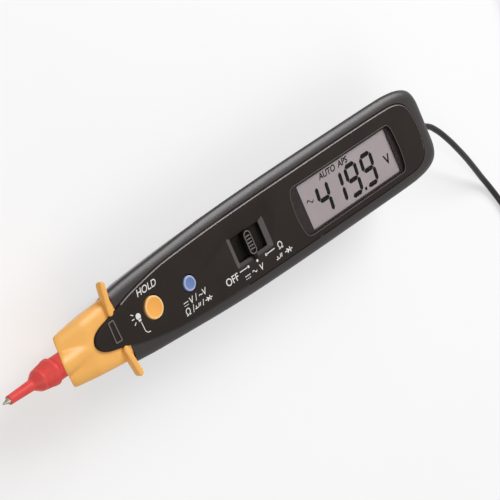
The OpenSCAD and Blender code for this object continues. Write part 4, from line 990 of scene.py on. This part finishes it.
def direct_mark(x, y, length, w=0.22):
    """A line over three dashes."""
    step = length / 3
    return [stroke(x, y + 0.4, x + length, y + 0.4, w)] + [
        stroke(x + i * step, y - 0.4, x + i * step + step * 0.62, y - 0.4, w) for i in range(3)]


def diode_mark(x, y, s, w):
    """A triangle between two short leads, with its bar."""
    return [stroke(x - s, y, x - s * 0.3, y, w),
            [(x - s * 0.45, y - s * 0.5), (x + s * 0.35, y), (x - s * 0.45, y + s * 0.5)],
            stroke(x + s * 0.42, y - s * 0.5, x + s * 0.42, y + s * 0.5, w * 1.2),
            stroke(x + s * 0.4, y, x + s, y, w)]


def sound_mark(x, y, s, w):
    """A short step with two rising strokes."""
    return [stroke(x - s, y - 0.3 * s, x, y - 0.3 * s, w),
            stroke(x - 0.5 * s, y - 0.3 * s, x - 0.5 * s, y + 0.3 * s, w),
            stroke(x + 0.2 * s, y - 0.3 * s, x + 0.55 * s, y + 0.45 * s, w),
            stroke(x + 0.65 * s, y - 0.3 * s, x + 1.0 * s, y + 0.45 * s, w)]


# Dots and lines of the switch's three places, then the lamp with its rays and hooked line
marks = [disc(94.0, -5.9, 0.42), disc(98.0, -5.9, 0.42), disc(102.0, -5.9, 0.42),
         stroke(90.2, -5.9, 93.8, -5.9, 0.28), stroke(102.0, -5.9, 105.8, -5.75, 0.28),
         disc(50.4, 0.3, 0.95), stroke(50.4, -0.4, 50.5, -1.2, 1.0),
         stroke(48.9, 1.3, 48.1, 1.9, 0.28), stroke(48.8, 0.3, 47.8, 0.3, 0.28),
         stroke(48.9, -0.8, 48.1, -1.4, 0.28),
         stroke(50.6, -1.5, 50.7, -4.3, 0.25), stroke(50.65, -4.25, 51.3, -5.1, 0.25),
         stroke(51.25, -5.08, 52.4, -5.3, 0.25)]
# Signs of the switch's middle place, of the blue button and of the switch's last place
marks += direct_mark(91.4, -8.4, 2.3) + [wave(95.6, -8.1, 1.9, 0.38, 0.3)]
marks += direct_mark(66.8, -4.6, 1.9) + sound_mark(71.3, -7.0, 1.3, 0.28)
marks += [stroke(73.2, -7.8, 74.0, -6.2, 0.24)] + diode_mark(76.0, -7.0, 1.45, 0.28)
marks += sound_mark(106.3, -8.7, 1.4, 0.3) + diode_mark(110.6, -8.6, 1.6, 0.3)
flat_shape("face_marks", marks, INK_Z, ink_mat)
flat_shape("display_wave", [wave(126.9, -0.5, 3.0, 0.55, 0.42)], LCD_TOP + 0.01, segment_mat)

# Raised outline on the tongue
outer = rounded_outline([(39.6, -2.8), (42.2, -2.9), (41.95, 3.7), (39.75, 3.6)], 0.4)
inner = rounded_outline([(39.95, -2.45), (41.85, -2.55), (41.6, 3.35), (40.1, 3.25)], 0.2)
frame_piece = carved(prism("tongue_frame", outer, 25.95, 26.15), [prism("cut", inner, 25, 27)])
smooth(frame_piece, 40)
dress(frame_piece, rib_mat, "case")

# Nodes that keep their CAD shape
for name, material in {
    "probe_pin": steel_mat, "switch_wiper": brass_mat, "switch_contacts": brass_mat, "lcd_frame": frame_mat,
    "zebra_strips": rubber_pink, "circuit_board": board_mat, "dome_switches": screw_mat, "main_chip": chip_mat,
    "board_parts": tin_mat, "board_screws": screw_mat, "buzzer": chip_mat, "input_thermistor": tan_mat,
    "lamp": lamp_mat, "lamp_leads": tin_mat, "probe_contact": brass_mat, "button_cells": cell_mat,
    "battery_contacts": brass_mat, "battery_bridge": brass_mat, "battery_cover": case_mat,
    "cover_screw": screw_mat, "case_screws": screw_mat, "lead_bushing": lead_mat, "lead_core": lead_mat,
    "lead_terminal": brass_mat, "lead_probe_handle": lead_mat, "lead_probe_pin": steel_mat,
}.items():
    dress(node[name], material)

# Floor, light and background: what the camera or a gloss sees is bright, what lights the object is plain
PAPER_GLOW, WORLD_LIGHT, FLOOR_DROP = 0.5, 0.30, 0.0002


def looked_at(tree, share=1.0):
    """The share for rays that the camera or a gloss sends, and zero for rays that carry light."""
    path = tree.nodes.new("ShaderNodeLightPath")
    value = path.outputs["Is Camera Ray"]
    for other in ("Is Glossy Ray", "Is Transmission Ray"):
        either = tree.nodes.new("ShaderNodeMath")
        either.operation = "MAXIMUM"
        tree.links.new(value, either.inputs[0])
        tree.links.new(path.outputs[other], either.inputs[1])
        value = either.outputs["Value"]
    part = tree.nodes.new("ShaderNodeMath")
    part.operation = "MULTIPLY"
    part.inputs[1].default_value = share
    tree.links.new(value, part.inputs[0])
    return part.outputs["Value"]


def mixed(tree, share, lit, seen, out):
    """Sends lit to out for rays that carry light, and a share of seen for rays that look."""
    blend = tree.nodes.new("ShaderNodeMixShader")
    tree.links.new(looked_at(tree, share), blend.inputs["Fac"])
    tree.links.new(lit, blend.inputs[1])
    tree.links.new(seen, blend.inputs[2])
    tree.links.new(blend.outputs["Shader"], out.inputs["Surface"])


paper = film("floor_paper", 8, (0.93, 0.93, 0.93), (0.96, 0.96, 0.96), (300, 3), (0.8, 0.95),
             Specular_IOR_Level=0.1)
glow = paper.tree.nodes.new("ShaderNodeEmission")
mixed(paper.tree, PAPER_GLOW, paper.shader.outputs["BSDF"], glow.outputs["Emission"],
      paper.tree.nodes["Material Output"])
bm = bmesh.new()
bmesh.ops.create_grid(bm, x_segments=2, y_segments=2, size=4)
floor_mesh = bpy.data.meshes.new("floor")
bm.to_mesh(floor_mesh)
bm.free()
floor = add("floor", floor_mesh)
floor.location.z = -FLOOR_DROP
floor.data.materials.append(paper.mat)


def area_light(name, where, target, size, power, colour=(1, 1, 1)):
    data = bpy.data.lights.new(name, "AREA")
    data.shape = "RECTANGLE"
    data.size = data.size_y = size
    data.energy = power
    data.color = colour
    obj = add(name, data)
    obj.location = where
    obj.rotation_mode = "QUATERNION"
    obj.rotation_quaternion = (Vector(target) - Vector(where)).to_track_quat("-Z", "Y")


area_light("key", (0.67, 0.49, 0.73), (0, 0, 0.02), 0.6, 9.0, (1.0, 0.975, 0.985))
area_light("fill", (-0.4, -0.4, 1.1), (0, 0, 0), 0.9, 4)

world = bpy.data.worlds.new("studio")
bpy.context.scene.world = world
world.use_nodes = True
tree = world.node_tree
tree.nodes.clear()
backgrounds = []
for strength in (WORLD_LIGHT, 1.0):
    shade = tree.nodes.new("ShaderNodeBackground")
    shade.inputs["Color"].default_value = (1, 1, 1, 1)
    shade.inputs["Strength"].default_value = strength
    backgrounds.append(shade.outputs["Background"])
mixed(tree, 1.0, *backgrounds, tree.nodes.new("ShaderNodeOutputWorld"))
bpy.context.scene.view_settings.view_transform = "Standard"
